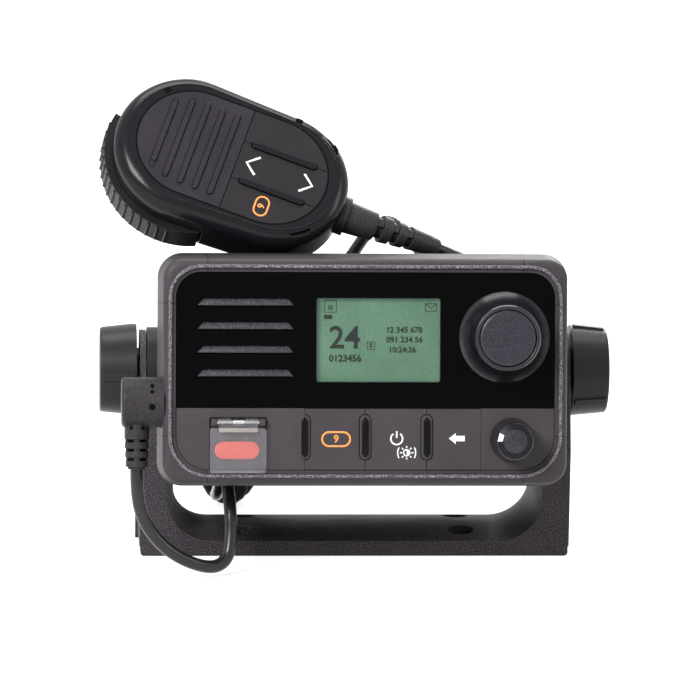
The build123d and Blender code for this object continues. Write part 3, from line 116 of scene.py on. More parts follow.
soft_box("key_lamp", (-0.75, -0.95, 0.85), (0, 0, 0.08), (0.6, 0.5), 22.0)
soft_box("side_lamp", (0.95, -0.35, 0.55), (0, 0, 0.08), (0.3, 0.6), 3.0)
soft_box("top_lamp", (0.0, 0.25, 1.1), (0, 0, 0.08), (0.9, 0.5), 9.0)
soft_box("rear_fill", (0.5, 1.2, 0.7), (0, 0, 0.06), (0.7, 0.5), 10.0)

# ---------------------------------------------------------------- material kit


def srgb(red, green, blue):
    """The linear colour of three 0 to 255 display values."""
    linear = [c / 12.92 if c <= 0.04045 else ((c + 0.055) / 1.055) ** 2.4
              for c in (red / 255, green / 255, blue / 255)]
    return (*linear, 1.0)


def shaded(colour, share):
    """A colour with a share of its light."""
    return tuple(c * share for c in colour[:3]) + (1.0,)


class Nodes:
    """A node tree with short calls for adding and joining nodes."""

    def __init__(self, tree):
        self.tree = tree

    def add(self, kind, settings=None, **sockets):
        """A new node, with its settings and its input sockets by name."""
        node = self.tree.nodes.new("ShaderNode" + kind)
        for name, value in (settings or {}).items():
            setattr(node, name, value)
        for name, value in sockets.items():
            self.put(node.inputs[name.replace("_", " ")], value)
        return node

    def put(self, socket, value):
        """Links an output to a socket, or sets the socket's number or colour."""
        if isinstance(value, bpy.types.NodeSocket):
            self.tree.links.new(value, socket)
        else:
            socket.default_value = value

    def place(self):
        """Object coordinates, in metres."""
        return self.add("TexCoord").outputs["Object"]

    def math(self, operation, first, second=0.0, third=0.0):
        node = self.add("Math", {"operation": operation})
        for socket, value in zip(node.inputs, (first, second, third)):
            self.put(socket, value)
        return node.outputs[0]

    def ramp(self, value, low, high, from_value=0.0, to_value=1.0):
        """Maps low to high onto two other values, and no further."""
        node = self.add("MapRange", {"clamp": True}, Value=value)
        for name, number in (("From Min", low), ("From Max", high),
                             ("To Min", from_value), ("To Max", to_value)):
            self.put(node.inputs[name], number)
        return node.outputs["Result"]

    def near(self, value, middle, full, none):
        """1 within one distance of a middle value, down to 0 at another distance."""
        away = self.math("ABSOLUTE", self.math("SUBTRACT", value, middle))
        return self.ramp(away, full, none, 1.0, 0.0)

    def mix(self, share, first, second):
        node = self.add("Mix", {"data_type": "RGBA"})
        for socket, value in ((node.inputs[0], share), (node.inputs[6], first),
                              (node.inputs[7], second)):
            self.put(socket, value)
        return node.outputs[2]

    def seen_straight(self):
        """1 for rays from the camera, from a mirror or through glass, otherwise 0."""
        path = self.add("LightPath").outputs
        seen = self.math("MAXIMUM", path["Is Camera Ray"], path["Is Glossy Ray"])
        return self.math("MAXIMUM", seen, path["Is Transmission Ray"])


def group(name, inputs, outputs):
    """A new shader node group: its Nodes, its input node and its output node."""
    tree = bpy.data.node_groups.new(name, "ShaderNodeTree")
    for label, kind, value in inputs:
        socket = tree.interface.new_socket(label, in_out="INPUT", socket_type="NodeSocket" + kind)
        if value is not None:
            socket.default_value = value
    for label, kind in outputs:
        tree.interface.new_socket(label, in_out="OUTPUT", socket_type="NodeSocket" + kind)
    nodes = Nodes(tree)
    return nodes, tree.nodes.new("NodeGroupInput"), tree.nodes.new("NodeGroupOutput")


def moulded_grain():
    """Fine spark-eroded grain with sparse light specks and slow shade changes."""
    inputs = [("Grain", "Float", 0.3), ("Specks", "Float", 0.0), ("Rarity", "Float", 0.6)]
    n, start, end = group("moulded_grain", inputs,
                          [("Height", "Float"), ("Speck", "Float"), ("Shade", "Float")])
    place = n.place()
    scale = n.math("DIVIDE", 1000.0, start.outputs["Grain"])
    fine = n.add("TexNoise", Vector=place, Scale=scale, Detail=2.0, Roughness=0.6)
    cells = n.add("TexVoronoi", {"feature": "F1"}, Vector=place,
                  Scale=n.math("MULTIPLY", scale, 0.8))
    pits = n.ramp(cells.outputs["Distance"], 0.05, 0.5)
    n.put(end.inputs["Height"], n.math("MULTIPLY", fine.outputs["Fac"], pits))
    flecks = n.add("TexNoise", Vector=place, Scale=n.math("MULTIPLY", scale, 0.9), Detail=1.0)
    picked = n.ramp(n.math("SUBTRACT", flecks.outputs["Fac"], start.outputs["Rarity"]), 0.0, 0.1)
    n.put(end.inputs["Speck"], n.math("MULTIPLY", picked, start.outputs["Specks"]))
    slow = n.add("TexNoise", Vector=place, Scale=38.0, Detail=3.0, Roughness=0.55)
    n.put(end.inputs["Shade"], slow.outputs["Fac"])
    return n.tree


def edge_wear_and_highlight():
    """Lighter edges, where the rounded normal leaves the true one: rubbed wear on some finishes, a
    painted highlight on others.
    """
    n, start, end = group("edge_wear_and_highlight", [("Width", "Float", 0.4), ("Amount", "Float", 0.3)],
                          [("Wear_and_highlight", "Float"), ("Normal", "Vector")])
    rounded = n.add("Bevel", {"samples": 6},
                    Radius=n.math("MULTIPLY", start.outputs["Width"], 0.001))
    true = n.add("NewGeometry").outputs["Normal"]
    dot = n.add("VectorMath", {"operation": "DOT_PRODUCT"})
    n.put(dot.inputs[0], rounded.outputs["Normal"])
    n.put(dot.inputs[1], true)
    bend = n.ramp(dot.outputs["Value"], 0.97, 0.75)
    broken = n.add("TexNoise", Vector=n.place(), Scale=420.0, Detail=3.0)
    wear_and_highlight = n.math("MULTIPLY", bend, start.outputs["Amount"])
    n.put(end.inputs["Wear_and_highlight"],
          n.math("MULTIPLY", wear_and_highlight, n.ramp(broken.outputs["Fac"], 0.35, 0.6, 0.35, 1.0)))
    n.put(end.inputs["Normal"], rounded.outputs["Normal"])
    return n.tree


def fine_dust():
    """Patches of fingerprints and dust that change the gloss."""
    n, start, end = group("fine_dust", [("Amount", "Float", 0.1)], [("Roughness", "Float")])
    place = n.place()
    patches = n.add("TexNoise", Vector=place, Scale=55.0, Detail=5.0, Roughness=0.65)
    grains = n.add("TexNoise", Vector=place, Scale=900.0, Detail=2.0)
    total = n.math("ADD", n.ramp(patches.outputs["Fac"], 0.35, 0.7, -0.5, 0.5),
                   n.ramp(grains.outputs["Fac"], 0.4, 0.7, 0.0, 0.4))
    n.put(end.inputs["Roughness"], n.math("MULTIPLY", total, start.outputs["Amount"]))
    return n.tree


GRAIN, WEAR_AND_HIGHLIGHT, DUST = moulded_grain(), edge_wear_and_highlight(), fine_dust()
finish = {}


def start_material(name):
    """A material with one shader, kept in finish under its name: its Nodes and the shader."""
    material = finish[name] = bpy.data.materials.new(name)
    material.use_nodes = True
    material.node_tree.nodes.clear()
    nodes = Nodes(material.node_tree)
    shader = nodes.add("BsdfPrincipled")
    output = nodes.add("OutputMaterial")
    nodes.put(output.inputs["Surface"], shader.outputs["BSDF"])
    return nodes, shader


def use(nodes, tree, **sockets):
    """Places a node group and gives its outputs."""
    return nodes.add("Group", {"node_tree": tree}, **sockets).outputs


def bumped(nodes, shader, strength, distance, height, **normal):
    """Gives a shader a relief of so many metres."""
    bump = nodes.add("Bump", Strength=strength, Distance=distance, Height=height, **normal)
    nodes.put(shader.inputs["Normal"], bump.outputs["Normal"])


def moulded(name, colour, rough, grain=0.35, depth=0.02, specks=0.0, wear_and_highlight=0.3, edge=0.4,
            coat=0.0, dust=0.08, specular=0.14, rarity=0.58, glint=2.6, seams=None):
    """Moulded plastic or rubber. Grain, depth and edge are in millimetres.

    Specks, where rarity is low enough, and edges are lighter by glint: grain flecks and rubbed
    wear, and on some finishes a painted sparkle and a painted highlight along the edges.
    """
    n, shader = start_material(name)
    grains = use(n, GRAIN, Grain=grain, Specks=specks, Rarity=rarity)
    edges = use(n, WEAR_AND_HIGHLIGHT, Width=edge, Amount=wear_and_highlight)
    dusty = use(n, DUST, Amount=dust)
    # Specks and edges made lighter by glint: grain flecks and rubbed wear, and on some finishes
    # painted sparkle and painted edge highlights.
    lighter = tuple(min(1.0, c * glint + 0.02) for c in colour[:3]) + (1.0,)
    body = n.mix(n.ramp(grains["Shade"], 0.35, 0.65), shaded(colour, 0.82), colour)
    body = n.mix(grains["Speck"], body, lighter)
    body = n.mix(edges["Wear_and_highlight"], body, lighter)
    height = grains["Height"]
    if seams:
        line = seams(n)
        body = n.mix(line, body, (0.003, 0.003, 0.003, 1.0))
        height = n.math("SUBTRACT", height, n.math("MULTIPLY", line, 3.0))
    n.put(shader.inputs["Base Color"], body)
    n.put(shader.inputs["Roughness"], n.math("ADD", dusty["Roughness"], rough))
    shader.inputs["Specular IOR Level"].default_value = specular
    if coat:
        shader.inputs["Coat Weight"].default_value = coat
        shader.inputs["Coat Roughness"].default_value = 0.12
    bumped(n, shader, 0.6, depth * 0.001, height, Normal=edges["Normal"])


def local_place(nodes, matrix):
    """Object coordinates in millimetres of one of the housings' frames."""
    turn = matrix.inverted()
    mapping = nodes.add("Mapping", {"vector_type": "POINT"}, Vector=nodes.place())
    mapping.inputs["Location"].default_value = turn.translation
    mapping.inputs["Rotation"].default_value = turn.to_euler()
    mapping.inputs["Scale"].default_value = (1000.0, 1000.0, 1000.0)
    return nodes.add("SeparateXYZ", Vector=mapping.outputs["Vector"]).outputs


def bezel_seams(n):
    """Four tool split lines across the bezel, near its corners."""
    local = local_place(n, RADIO)
    across = n.math("ABSOLUTE", local["X"])
    up = n.math("ABSOLUTE", n.math("SUBTRACT", local["Y"], bezel_middle))
    seam_x, seam_y, border_x, border_y = 63.0, 26.4, 74.0, 35.0
    upright = n.math("MULTIPLY", n.near(across, seam_x, 0.10, 0.22),
                     n.math("GREATER_THAN", up, border_y))
    level = n.math("MULTIPLY", n.near(up, seam_y, 0.10, 0.22),
                   n.math("GREATER_THAN", across, border_x))
    return n.math("MAXIMUM", upright, level)


def metal(name, colour, rough, scratch=0.15, ring=0.0, along="X"):
    """Turned or plated metal, with rings round one axis where ring gives their scale."""
    n, shader = start_material(name)
    place = n.place()
    marks = n.add("TexNoise", Vector=place, Scale=700.0, Detail=4.0, Roughness=0.7)
    tarnish = n.add("TexNoise", Vector=place, Scale=90.0, Detail=4.0)
    edges = use(n, WEAR_AND_HIGHLIGHT, Width=0.25, Amount=0.5)
    n.put(shader.inputs["Base Color"],
          n.mix(n.ramp(tarnish.outputs["Fac"], 0.4, 0.75), colour, shaded(colour, 0.62)))
    n.put(shader.inputs["Roughness"],
          n.ramp(marks.outputs["Fac"], 0.3, 0.7, rough, rough + scratch))
    shader.inputs["Metallic"].default_value = 1.0
    height = marks.outputs["Fac"]
    if ring:
        wave = n.add("TexWave", {"bands_direction": along}, Vector=place, Scale=ring,
                     Distortion=0.4)
        height = n.math("ADD", height, wave.outputs["Fac"])
    bumped(n, shader, 0.35, 0.00002, height, Normal=edges["Normal"])


def tinted_cover(name, colour, rough, cover):
    """Thin hazy clear plastic with scuffs, which lets the light through to what lies under it."""
    n, shader = start_material(name)
    place = n.place()
    flow = n.add("TexNoise", Vector=place, Scale=220.0, Detail=4.0, Roughness=0.7)
    scuffs = n.add("TexNoise", Vector=place, Scale=1500.0, Detail=4.0, Roughness=0.7)
    edges = use(n, WEAR_AND_HIGHLIGHT, Width=0.3, Amount=1.0)
    haze = n.math("ADD", n.ramp(scuffs.outputs["Fac"], 0.4, 0.75, 0.0, 0.35), edges["Wear_and_highlight"])
    n.put(shader.inputs["Base Color"],
          n.mix(n.ramp(flow.outputs["Fac"], 0.35, 0.7), colour, shaded(colour, 0.75)))
    n.put(shader.inputs["Roughness"],
          n.ramp(scuffs.outputs["Fac"], 0.4, 0.75, rough, rough + 0.12))
    n.put(shader.inputs["Alpha"],
          n.math("MINIMUM", n.math("MULTIPLY_ADD", haze, 0.5, cover), 0.9))
    bumped(n, shader, 0.3, 0.00002, flow.outputs["Fac"])


def display_glow():
    """Backlit liquid crystal field: grey green with slow clouds and a fine square grid."""
    n, shader = start_material("lcd")
    local = local_place(n, RADIO)
    field = n.add("CombineXYZ", X=local["X"], Y=local["Y"], Z=0.0).outputs["Vector"]
    cloud = n.add("TexNoise", Vector=field, Scale=0.05, Detail=2.0)
    pixels = n.add("TexBrick", {"offset": 0.0}, Vector=field, Scale=2.6, Mortar_Size=0.03)
    pixels.inputs["Color1"].default_value = (1, 1, 1, 1)
    pixels.inputs["Color2"].default_value = (1, 1, 1, 1)
    pixels.inputs["Mortar"].default_value = (0.86, 0.86, 0.86, 1)
    green = n.mix(n.ramp(cloud.outputs["Fac"], 0.35, 0.65), srgb(84, 119, 97),
                  srgb(92, 128, 106))
    tint = n.add("Mix", {"data_type": "RGBA", "blend_type": "MULTIPLY"})
    n.put(tint.inputs[0], 1.0)
    n.put(tint.inputs[6], green)
    n.put(tint.inputs[7], pixels.outputs["Color"])
    fade = 0.2
    inside = n.math(
        "MULTIPLY",
        n.near(local["X"], window_x, window_half_width, window_half_width + fade),
        n.near(local["Y"], window_y, window_half_height, window_half_height + fade))
    surface = n.mix(inside, (0.03, 0.03, 0.03, 1), tint.outputs[2])
    n.put(shader.inputs["Base Color"], surface)
    n.put(shader.inputs["Emission Color"], surface)
    shader.inputs["Emission Strength"].default_value = 0.25
    n.put(shader.inputs["Roughness"], n.ramp(cloud.outputs["Fac"], 0.3, 0.7, 0.35, 0.5))


def circuit():
    """Green solder mask with copper tracks and pads."""
    n, shader = start_material("circuit_board")
    local = local_place(n, RADIO)
    field = n.add("CombineXYZ", X=local["X"], Y=local["Y"], Z=local["Z"]).outputs["Vector"]
    tracks = n.add("TexBrick", {"offset": 0.5}, Vector=field, Scale=0.28, Mortar_Size=0.05)
    pads = n.add("TexVoronoi", {"feature": "F1"}, Vector=field, Scale=0.35)
    copper = n.ramp(pads.outputs["Distance"], 0.14, 0.17, 1.0, 0.0)
    base = n.mix(tracks.outputs["Fac"], srgb(14, 84, 46), srgb(30, 110, 62))
    n.put(shader.inputs["Base Color"], n.mix(copper, base, srgb(190, 168, 92)))
    n.put(shader.inputs["Roughness"], n.ramp(copper, 0, 1, 0.3, 0.45))
    n.put(shader.inputs["Metallic"], copper)
    bumped(n, shader, 0.4, 0.00003, tracks.outputs["Fac"])


def printed(name, colour, painted_glow=0.0):
    """Matt ink of a slightly uneven tone, which may be given a painted glow."""
    n, shader = start_material(name)
    place = n.place()
    ink = n.add("TexNoise", Vector=place, Scale=2600.0, Detail=2.0)
    n.put(shader.inputs["Base Color"],
          n.mix(n.ramp(ink.outputs["Fac"], 0.35, 0.65), colour, shaded(colour, 0.88)))
    n.put(shader.inputs["Roughness"], n.ramp(ink.outputs["Fac"], 0.3, 0.7, 0.42, 0.6))
    if painted_glow:
        shader.inputs["Emission Color"].default_value = colour
        shader.inputs["Emission Strength"].default_value = painted_glow
    bumped(n, shader, 0.2, 0.00001, ink.outputs["Fac"])


def floor_finish():
    """White paper sweep, bright to the camera, that keeps the shadow."""
    n, shader = start_material("studio_floor")
    shader.inputs["Base Color"].default_value = (0.6, 0.6, 0.6, 1)
    shader.inputs["Roughness"].default_value = 0.9
    shader.inputs["Specular IOR Level"].default_value = 0.0
    shader.inputs["Emission Color"].default_value = (1, 1, 1, 1)
    n.put(shader.inputs["Emission Strength"], n.math("MULTIPLY", n.seen_straight(), 0.8))


# Bracket: its light specks are partly grain and partly painted sparkle; its light edges are rubbed
# wear.
moulded("bracket_plastic", srgb(58, 54, 58), 0.48, grain=0.5, depth=0.07, specks=0.4, wear_and_highlight=0.9,
        edge=0.8, specular=0.1, rarity=0.51, glint=4.0)
moulded("clamp_plastic", srgb(46, 43, 46), 0.34, grain=0.3, depth=0.012, wear_and_highlight=0.35)
metal("stainless", srgb(190, 190, 192), 0.22, ring=900.0)
moulded("bezel_plastic", srgb(63, 59, 62), 0.45, grain=0.34, depth=0.016, specks=0.1, wear_and_highlight=0.18,
        seams=bezel_seams, rarity=0.52)
# Ridge: its light specks and edges, lighter by a glint of 8, are its speckled grain and a painted
# highlight and sparkle where its bevel catches the light.
moulded("bezel_ridge", srgb(54, 51, 56), 0.32, grain=0.42, depth=0.3, specks=0.9, wear_and_highlight=0.5,
        specular=0.5, rarity=0.52, glint=8.0)
moulded("panel_gloss", srgb(5, 4, 5), 0.16, grain=0.8, depth=0.002, wear_and_highlight=0.1, edge=0.25, dust=0.04,
        specular=0.04)
moulded("fascia_grey", srgb(68, 64, 67), 0.5, grain=0.3, depth=0.012, wear_and_highlight=0.12, specks=0.06,
        rarity=0.5)
moulded("key_grey", srgb(68, 64, 67), 0.5, grain=0.3, depth=0.012, wear_and_highlight=0.15, specks=0.06,
        rarity=0.5)
moulded("louvre_grey", srgb(58, 56, 62), 0.35, grain=0.5, depth=0.1, specks=0.55, wear_and_highlight=0.9,
        rarity=0.5)
moulded("distress_red", srgb(255, 96, 70), 0.3, grain=0.5, depth=0.004, wear_and_highlight=0.2, coat=0.4,
        dust=0.05)
tinted_cover("clear_cover", srgb(168, 166, 172), 0.1, 0.14)
tinted_cover("lens", srgb(30, 30, 32), 0.05, 0.03)
display_glow()
moulded("gasket_rubber", srgb(40, 40, 41), 0.8, grain=0.8, depth=0.05, wear_and_highlight=0.1)
moulded("speaker_parts", srgb(52, 50, 48), 0.75, grain=0.7, depth=0.06, wear_and_highlight=0.1)
circuit()
moulded("membrane_rubber", srgb(168, 168, 164), 0.6, grain=0.5, depth=0.02)
# Knobs: their edges, lighter by a glint of 8, are a painted highlight along the rims.
moulded("knob_plastic", srgb(25, 23, 28), 0.22, grain=0.28, depth=0.008, wear_and_highlight=0.8, edge=0.6,
        specular=0.5, glint=8.0)
moulded("knob_cap", srgb(33, 31, 40), 0.34, grain=0.5, depth=0.1, specks=0.3, wear_and_highlight=0.4,
        specular=0.35, rarity=0.5, glint=3.5)
# Volume crown: its edges, lighter by a glint of 7, are a painted highlight.
moulded("knob_crown", srgb(26, 24, 28), 0.4, grain=0.3, depth=0.01, wear_and_highlight=0.9, edge=0.35,
        specular=0.12, glint=7.0)
metal("encoder_metal", srgb(170, 170, 172), 0.3)
moulded("chassis_paint", srgb(42, 41, 43), 0.45, grain=0.9, depth=0.06, wear_and_highlight=0.4, edge=0.5)
metal("brass", srgb(196, 160, 92), 0.25, ring=900.0)
metal("connector_metal", srgb(206, 206, 208), 0.14, scratch=0.1, ring=260.0, along="Y")
moulded("gland_plastic", srgb(42, 41, 42), 0.45, grain=0.4, depth=0.02)
moulded("cord_rubber", srgb(38, 36, 38), 0.24, grain=0.5, depth=0.012, wear_and_highlight=0.0, edge=0.1,
        dust=0.1, specular=0.35)
# The coil is a darker copy of the cord's rubber: painted shade, as it lies under and behind the
# radio.
moulded("coil_rubber_painted_shade", srgb(30, 28, 29), 0.42, grain=0.5, depth=0.012, wear_and_highlight=0.0, edge=0.1,
        dust=0.1, specular=0.08)
moulded("boot_rubber", srgb(50, 47, 50), 0.42, grain=0.45, depth=0.06, specks=0.3, wear_and_highlight=0.5,
        edge=0.5, rarity=0.53)
moulded("handset_plastic", srgb(24, 22, 26), 0.2, grain=0.34, depth=0.012, wear_and_highlight=0.4, edge=0.45,
        specular=0.16)
moulded("handset_face", srgb(43, 40, 45), 0.42, grain=0.4, depth=0.03, specks=0.12, wear_and_highlight=0.4,
        rarity=0.5)
moulded("handset_key_rubber", srgb(37, 35, 38), 0.44, grain=0.4, depth=0.03, specks=0.08, wear_and_highlight=0.2,
        rarity=0.5)
moulded("ptt_rubber", srgb(30, 28, 31), 0.34, grain=0.4, depth=0.03, wear_and_highlight=0.45)
# The white and orange inks glow a little: painted light, as they are no lamp.
printed("white_ink", srgb(236, 236, 238), 0.15)
printed("orange_ink", srgb(240, 152, 76), 0.12)
printed("segment_ink", srgb(8, 26, 18))
# Near black: painted shade on thin sheets and strokes laid over grooves, holes and recesses.
moulded("painted_recess_shade", srgb(8, 7, 8), 0.7, grain=0.4, depth=0.02, wear_and_highlight=0.0, specular=0.05)
# Light bars: their edges, lighter by a glint of 12, are a painted highlight.
moulded("light_bar", srgb(12, 11, 13), 0.2, grain=0.4, depth=0.006, wear_and_highlight=0.9, edge=0.3,
        specular=0.1, glint=12.0)
moulded("hinge_clear", srgb(158, 150, 146), 0.25, grain=0.5, depth=0.02, wear_and_highlight=0.5, coat=0.3)

node_finish = {
    "bracket_plastic": ["bracket"],
    "clamp_plastic": ["left_knob_washer", "right_knob_washer", "left_clamp_knob",
                      "right_clamp_knob"],
    "stainless": ["left_knob_stud", "right_knob_stud", "distress_cover_pin",
                  "distress_cover_spring", "chassis_screws", "ptt_pin", "handset_screws"],
    "bezel_plastic": ["front_bezel"],
    "panel_gloss": ["front_panel"],
    "fascia_grey": ["lower_fascia"],
    "key_grey": ["channel_key", "power_key", "back_key"],
    "distress_red": ["distress_button"],
    "clear_cover": ["distress_cover"],
    "lens": ["display_window"],
    "lcd": ["lcd_module"],
    "gasket_rubber": ["speaker_gasket", "front_seal"],
    "speaker_parts": ["speaker", "microphone_capsule"],
    "circuit_board": ["front_board", "main_board", "handset_board"],
    "membrane_rubber": ["keypad_membrane"],
    "knob_plastic": ["menu_knob", "volume_knob"],
    "knob_cap": ["menu_button"],
    "encoder_metal": ["menu_encoder", "menu_shaft", "volume_encoder", "volume_shaft"],
    "chassis_paint": ["rear_chassis"],
    "brass": ["left_trunnion_insert", "right_trunnion_insert"],
    "connector_metal": ["antenna_connector", "gps_connector"],
    "gland_plastic": ["power_cable_gland", "network_connector"],
    "boot_rubber": ["cord_boot", "cord_relief", "handset_relief"],
    "handset_plastic": ["handset_front_shell", "handset_back_shell", "hang_button"],
    "handset_face": ["handset_grille"],
    "handset_key_rubber": ["handset_power_key", "handset_rocker_key", "handset_channel_key"],
    "ptt_rubber": ["ptt_lever"],
    "cord_rubber": ["cord_lead", "cord_coil", "cord_tail"],
}
for slot, names in node_finish.items():
    for name in names:
        node_mesh = frame["nodes"][name].data
        node_mesh.materials.clear()
        node_mesh.materials.append(finish[slot])

# ---------------------------------------------------------------- floor and world

floor_mesh = bpy.data.meshes.new("floor")
sheet = bmesh.new()
bmesh.ops.create_grid(sheet, x_segments=1, y_segments=1, size=6.0)
bmesh.ops.translate(sheet, verts=sheet.verts, vec=(0, 0, -0.0002))
sheet.to_mesh(floor_mesh)
sheet.free()
floor = bpy.data.objects.new("floor", floor_mesh)
floor_finish()
floor_mesh.materials.append(finish["studio_floor"])
bpy.context.scene.collection.objects.link(floor)

world = bpy.data.worlds.new("studio")
bpy.context.scene.world = world
world.use_nodes = True
world.node_tree.nodes.clear()
sky = Nodes(world.node_tree)
backdrop = sky.add("Background", Color=(1, 1, 1, 1),
                   Strength=sky.ramp(sky.seen_straight(), 0, 1, 0.4, 1.0))
sky.put(sky.add("OutputWorld").inputs["Surface"], backdrop.outputs["Background"])

# ---------------------------------------------------------------- shaping kit


def rounded_plate(width, height, radius, steps=6):
    """A flat face with rounded corners, round the origin."""
    shape = bmesh.new()
    bmesh.ops.create_grid(shape, x_segments=1, y_segments=1, size=0.5)
    bmesh.ops.scale(shape, verts=shape.verts, vec=(width, height, 1))
    bmesh.ops.bevel(shape, geom=shape.verts[:], offset=radius, offset_type="OFFSET", segments=steps,
                    profile=0.5, affect="VERTICES", material=-1)
    return shape


def corner_plate(corners):
    """A flat face through a few corners."""
    shape = bmesh.new()
    shape.faces.new([shape.verts.new((x, y, 0)) for x, y in corners])
    return shape


def disc(radius, segments):
    """A flat round face."""
    shape = bmesh.new()
    bmesh.ops.create_circle(shape, cap_ends=True, segments=segments, radius=radius)
    return shape


def cone(low_radius, high_radius, height, segments):
    """A cone without its point, or a cylinder, round the origin."""
    shape = bmesh.new()
    bmesh.ops.create_cone(shape, cap_ends=True, segments=segments, radius1=low_radius,
                          radius2=high_radius, depth=height)
    return shape


def thicken(shape, amount, soften=0.0, steps=2):
    """Pulls a flat face up into a solid and rounds its front edges."""
    raised = bmesh.ops.extrude_face_region(shape, geom=shape.faces[:], use_keep_orig=True)["geom"]
    tops = [v for v in raised if isinstance(v, bmesh.types.BMVert)]
    bmesh.ops.translate(shape, verts=tops, vec=(0, 0, amount))
    bmesh.ops.recalc_face_normals(shape, faces=shape.faces)
    if soften:
        rims = [e for e in shape.edges if all(v in tops for v in e.verts) and len(e.link_faces) == 2
                and e.calc_face_angle(0) > 0.5]
        bmesh.ops.bevel(shape, geom=rims, offset=soften, offset_type="OFFSET", segments=steps,
                        profile=0.5, affect="EDGES", material=-1, clamp_overlap=True)
    return shape


def ring_of(shape, width):
    """Leaves only a border of that width of a flat face."""
    whole = shape.faces[:]
    shape.normal_update()
    bmesh.ops.inset_region(shape, faces=whole, thickness=width, use_even_offset=True,
                           use_boundary=True)
    bmesh.ops.delete(shape, geom=whole, context="FACES")
    return shape


def move(shape, x=0.0, y=0.0, z=0.0, turn=0.0, tip=0.0):
    """Tips about X, turns about Z, then moves."""
    bmesh.ops.transform(shape, verts=shape.verts,
                        matrix=Matrix.Translation((x, y, z)) @ Matrix.Rotation(turn, 4, "Z")
                        @ Matrix.Rotation(tip, 4, "X"))
    return shape


def turned(shape, degrees, axis):
    """Turns about one of the axes through the origin."""
    bmesh.ops.rotate(shape, verts=shape.verts, cent=(0, 0, 0),
                     matrix=Matrix.Rotation(radians(degrees), 3, axis))
    return shape


def joined(*shapes):
    """Several shapes in one."""
    whole = bmesh.new()
    for shape in shapes:
        part = bpy.data.meshes.new("part")
        shape.to_mesh(part)
        shape.free()
        whole.from_mesh(part)
        bpy.data.meshes.remove(part)
    return whole


def piece(name, shape, place, body, slot, look=None, sharp=35):
    """A finished shape in millimetres of a local frame becomes an object that rides on a body."""
    shape.transform(place)
    mesh = bpy.data.meshes.new(name)
    shape.to_mesh(mesh)
    shape.free()
    return dress(name, mesh, body, slot, look, sharp)


def dress(name, mesh, body, slot, look=None, sharp=35):
    """Makes a mesh an object with its finish, on its body if it rides on just one."""
    obj = bpy.data.objects.new(name, mesh)
    bpy.context.scene.collection.objects.link(obj)
    mesh.materials.clear()
    mesh.materials.append(finish[look or slot])
    mesh.shade_smooth()
    mesh.set_sharp_from_angle(angle=radians(sharp))
    if body:
        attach(obj, body)
    return obj


def made_mesh(data, name):
    """The mesh that a curve or text draws."""
    holder = bpy.data.objects.new(name, data)
    bpy.context.scene.collection.objects.link(holder)
    drawn = holder.evaluated_get(bpy.context.evaluated_depsgraph_get())
    mesh = bpy.data.meshes.new_from_object(drawn)
    bpy.data.objects.remove(holder)
    return mesh


def strokes(lines, width, height=0.06):
    """Thin raised lines, each a list of points and whether it closes."""
    data = bpy.data.curves.new("strokes", "CURVE")
    data.dimensions = "3D"
    data.bevel_depth = width / 2
    data.bevel_resolution = 1
    data.use_fill_caps = True
    for points, closed in lines:
        spline = data.splines.new("POLY")
        spline.points.add(len(points) - 1)
        for point, (x, y) in zip(spline.points, points):
            point.co = (x, y, 0, 1)
        spline.use_cyclic_u = closed
    mesh = made_mesh(data, "strokes")
    shape = bmesh.new()
    shape.from_mesh(mesh)
    bmesh.ops.scale(shape, verts=shape.verts, vec=(1, 1, 2 * height / width))
    return shape


def digits(text, size, bold=0.0, height=0.04):
    """Plain figures, centred on the origin."""
    data = bpy.data.curves.new("digits", "FONT")
    data.body = text
    data.size = size
    data.offset = bold
    data.extrude = height
    data.align_x, data.align_y = "CENTER", "CENTER"
    data.resolution_u = 3
    mesh = made_mesh(data, "digits")
    shape = bmesh.new()
    shape.from_mesh(mesh)
    return shape


def arc(radius, start, end, steps=16, x=0.0, y=0.0):
    """Points of a circle's part, in degrees."""
    angles = [radians(start + (end - start) * i / steps) for i in range(steps + 1)]
    return [(x + radius * cos(angle), y + radius * sin(angle)) for angle in angles]


def pill_line(length, width):
    """A closed pill outline, long in X."""
    straight, radius = (length - width) / 2, width / 2
    return arc(radius, -90, 90, 10, x=straight) + arc(radius, 90, 270, 10, x=-straight)


def box_line(width, height):
    """The four corners of an upright box round the origin."""
    x, y = width / 2, height / 2
    return [(-x, -y), (x, -y), (x, y), (-x, y)]


# ---------------------------------------------------------------- cords


def spline_line(points, steps=12):
    """The smooth line of a NURBS spline whose control points are given in millimetres."""
    data = bpy.data.curves.new("line", "CURVE")
    data.dimensions = "3D"
    data.resolution_u = steps
    spline = data.splines.new("NURBS")
    spline.points.add(len(points) - 1)
    for point, place in zip(spline.points, points):
        point.co = (*(c / 1000 for c in place), 1)
    spline.order_u = 3
    spline.use_endpoint_u = True
    mesh = made_mesh(data, "line")
    return [v.co.copy() for v in mesh.vertices]


def tube(name, line, radius, look, sides=16):
    """A round cord along a line, as a mesh, with closed ends."""
    data = bpy.data.curves.new(name, "CURVE")
    data.dimensions = "3D"
    data.bevel_depth = radius
    data.bevel_resolution = sides // 4 - 1
    data.use_fill_caps = True
    spline = data.splines.new("POLY")
    spline.points.add(len(line) - 1)
    for point, place in zip(spline.points, line):
        point.co = (*place, 1)
    mesh = made_mesh(data, name)
    return dress(name, mesh, None, "cord_rubber", look, sharp=60)


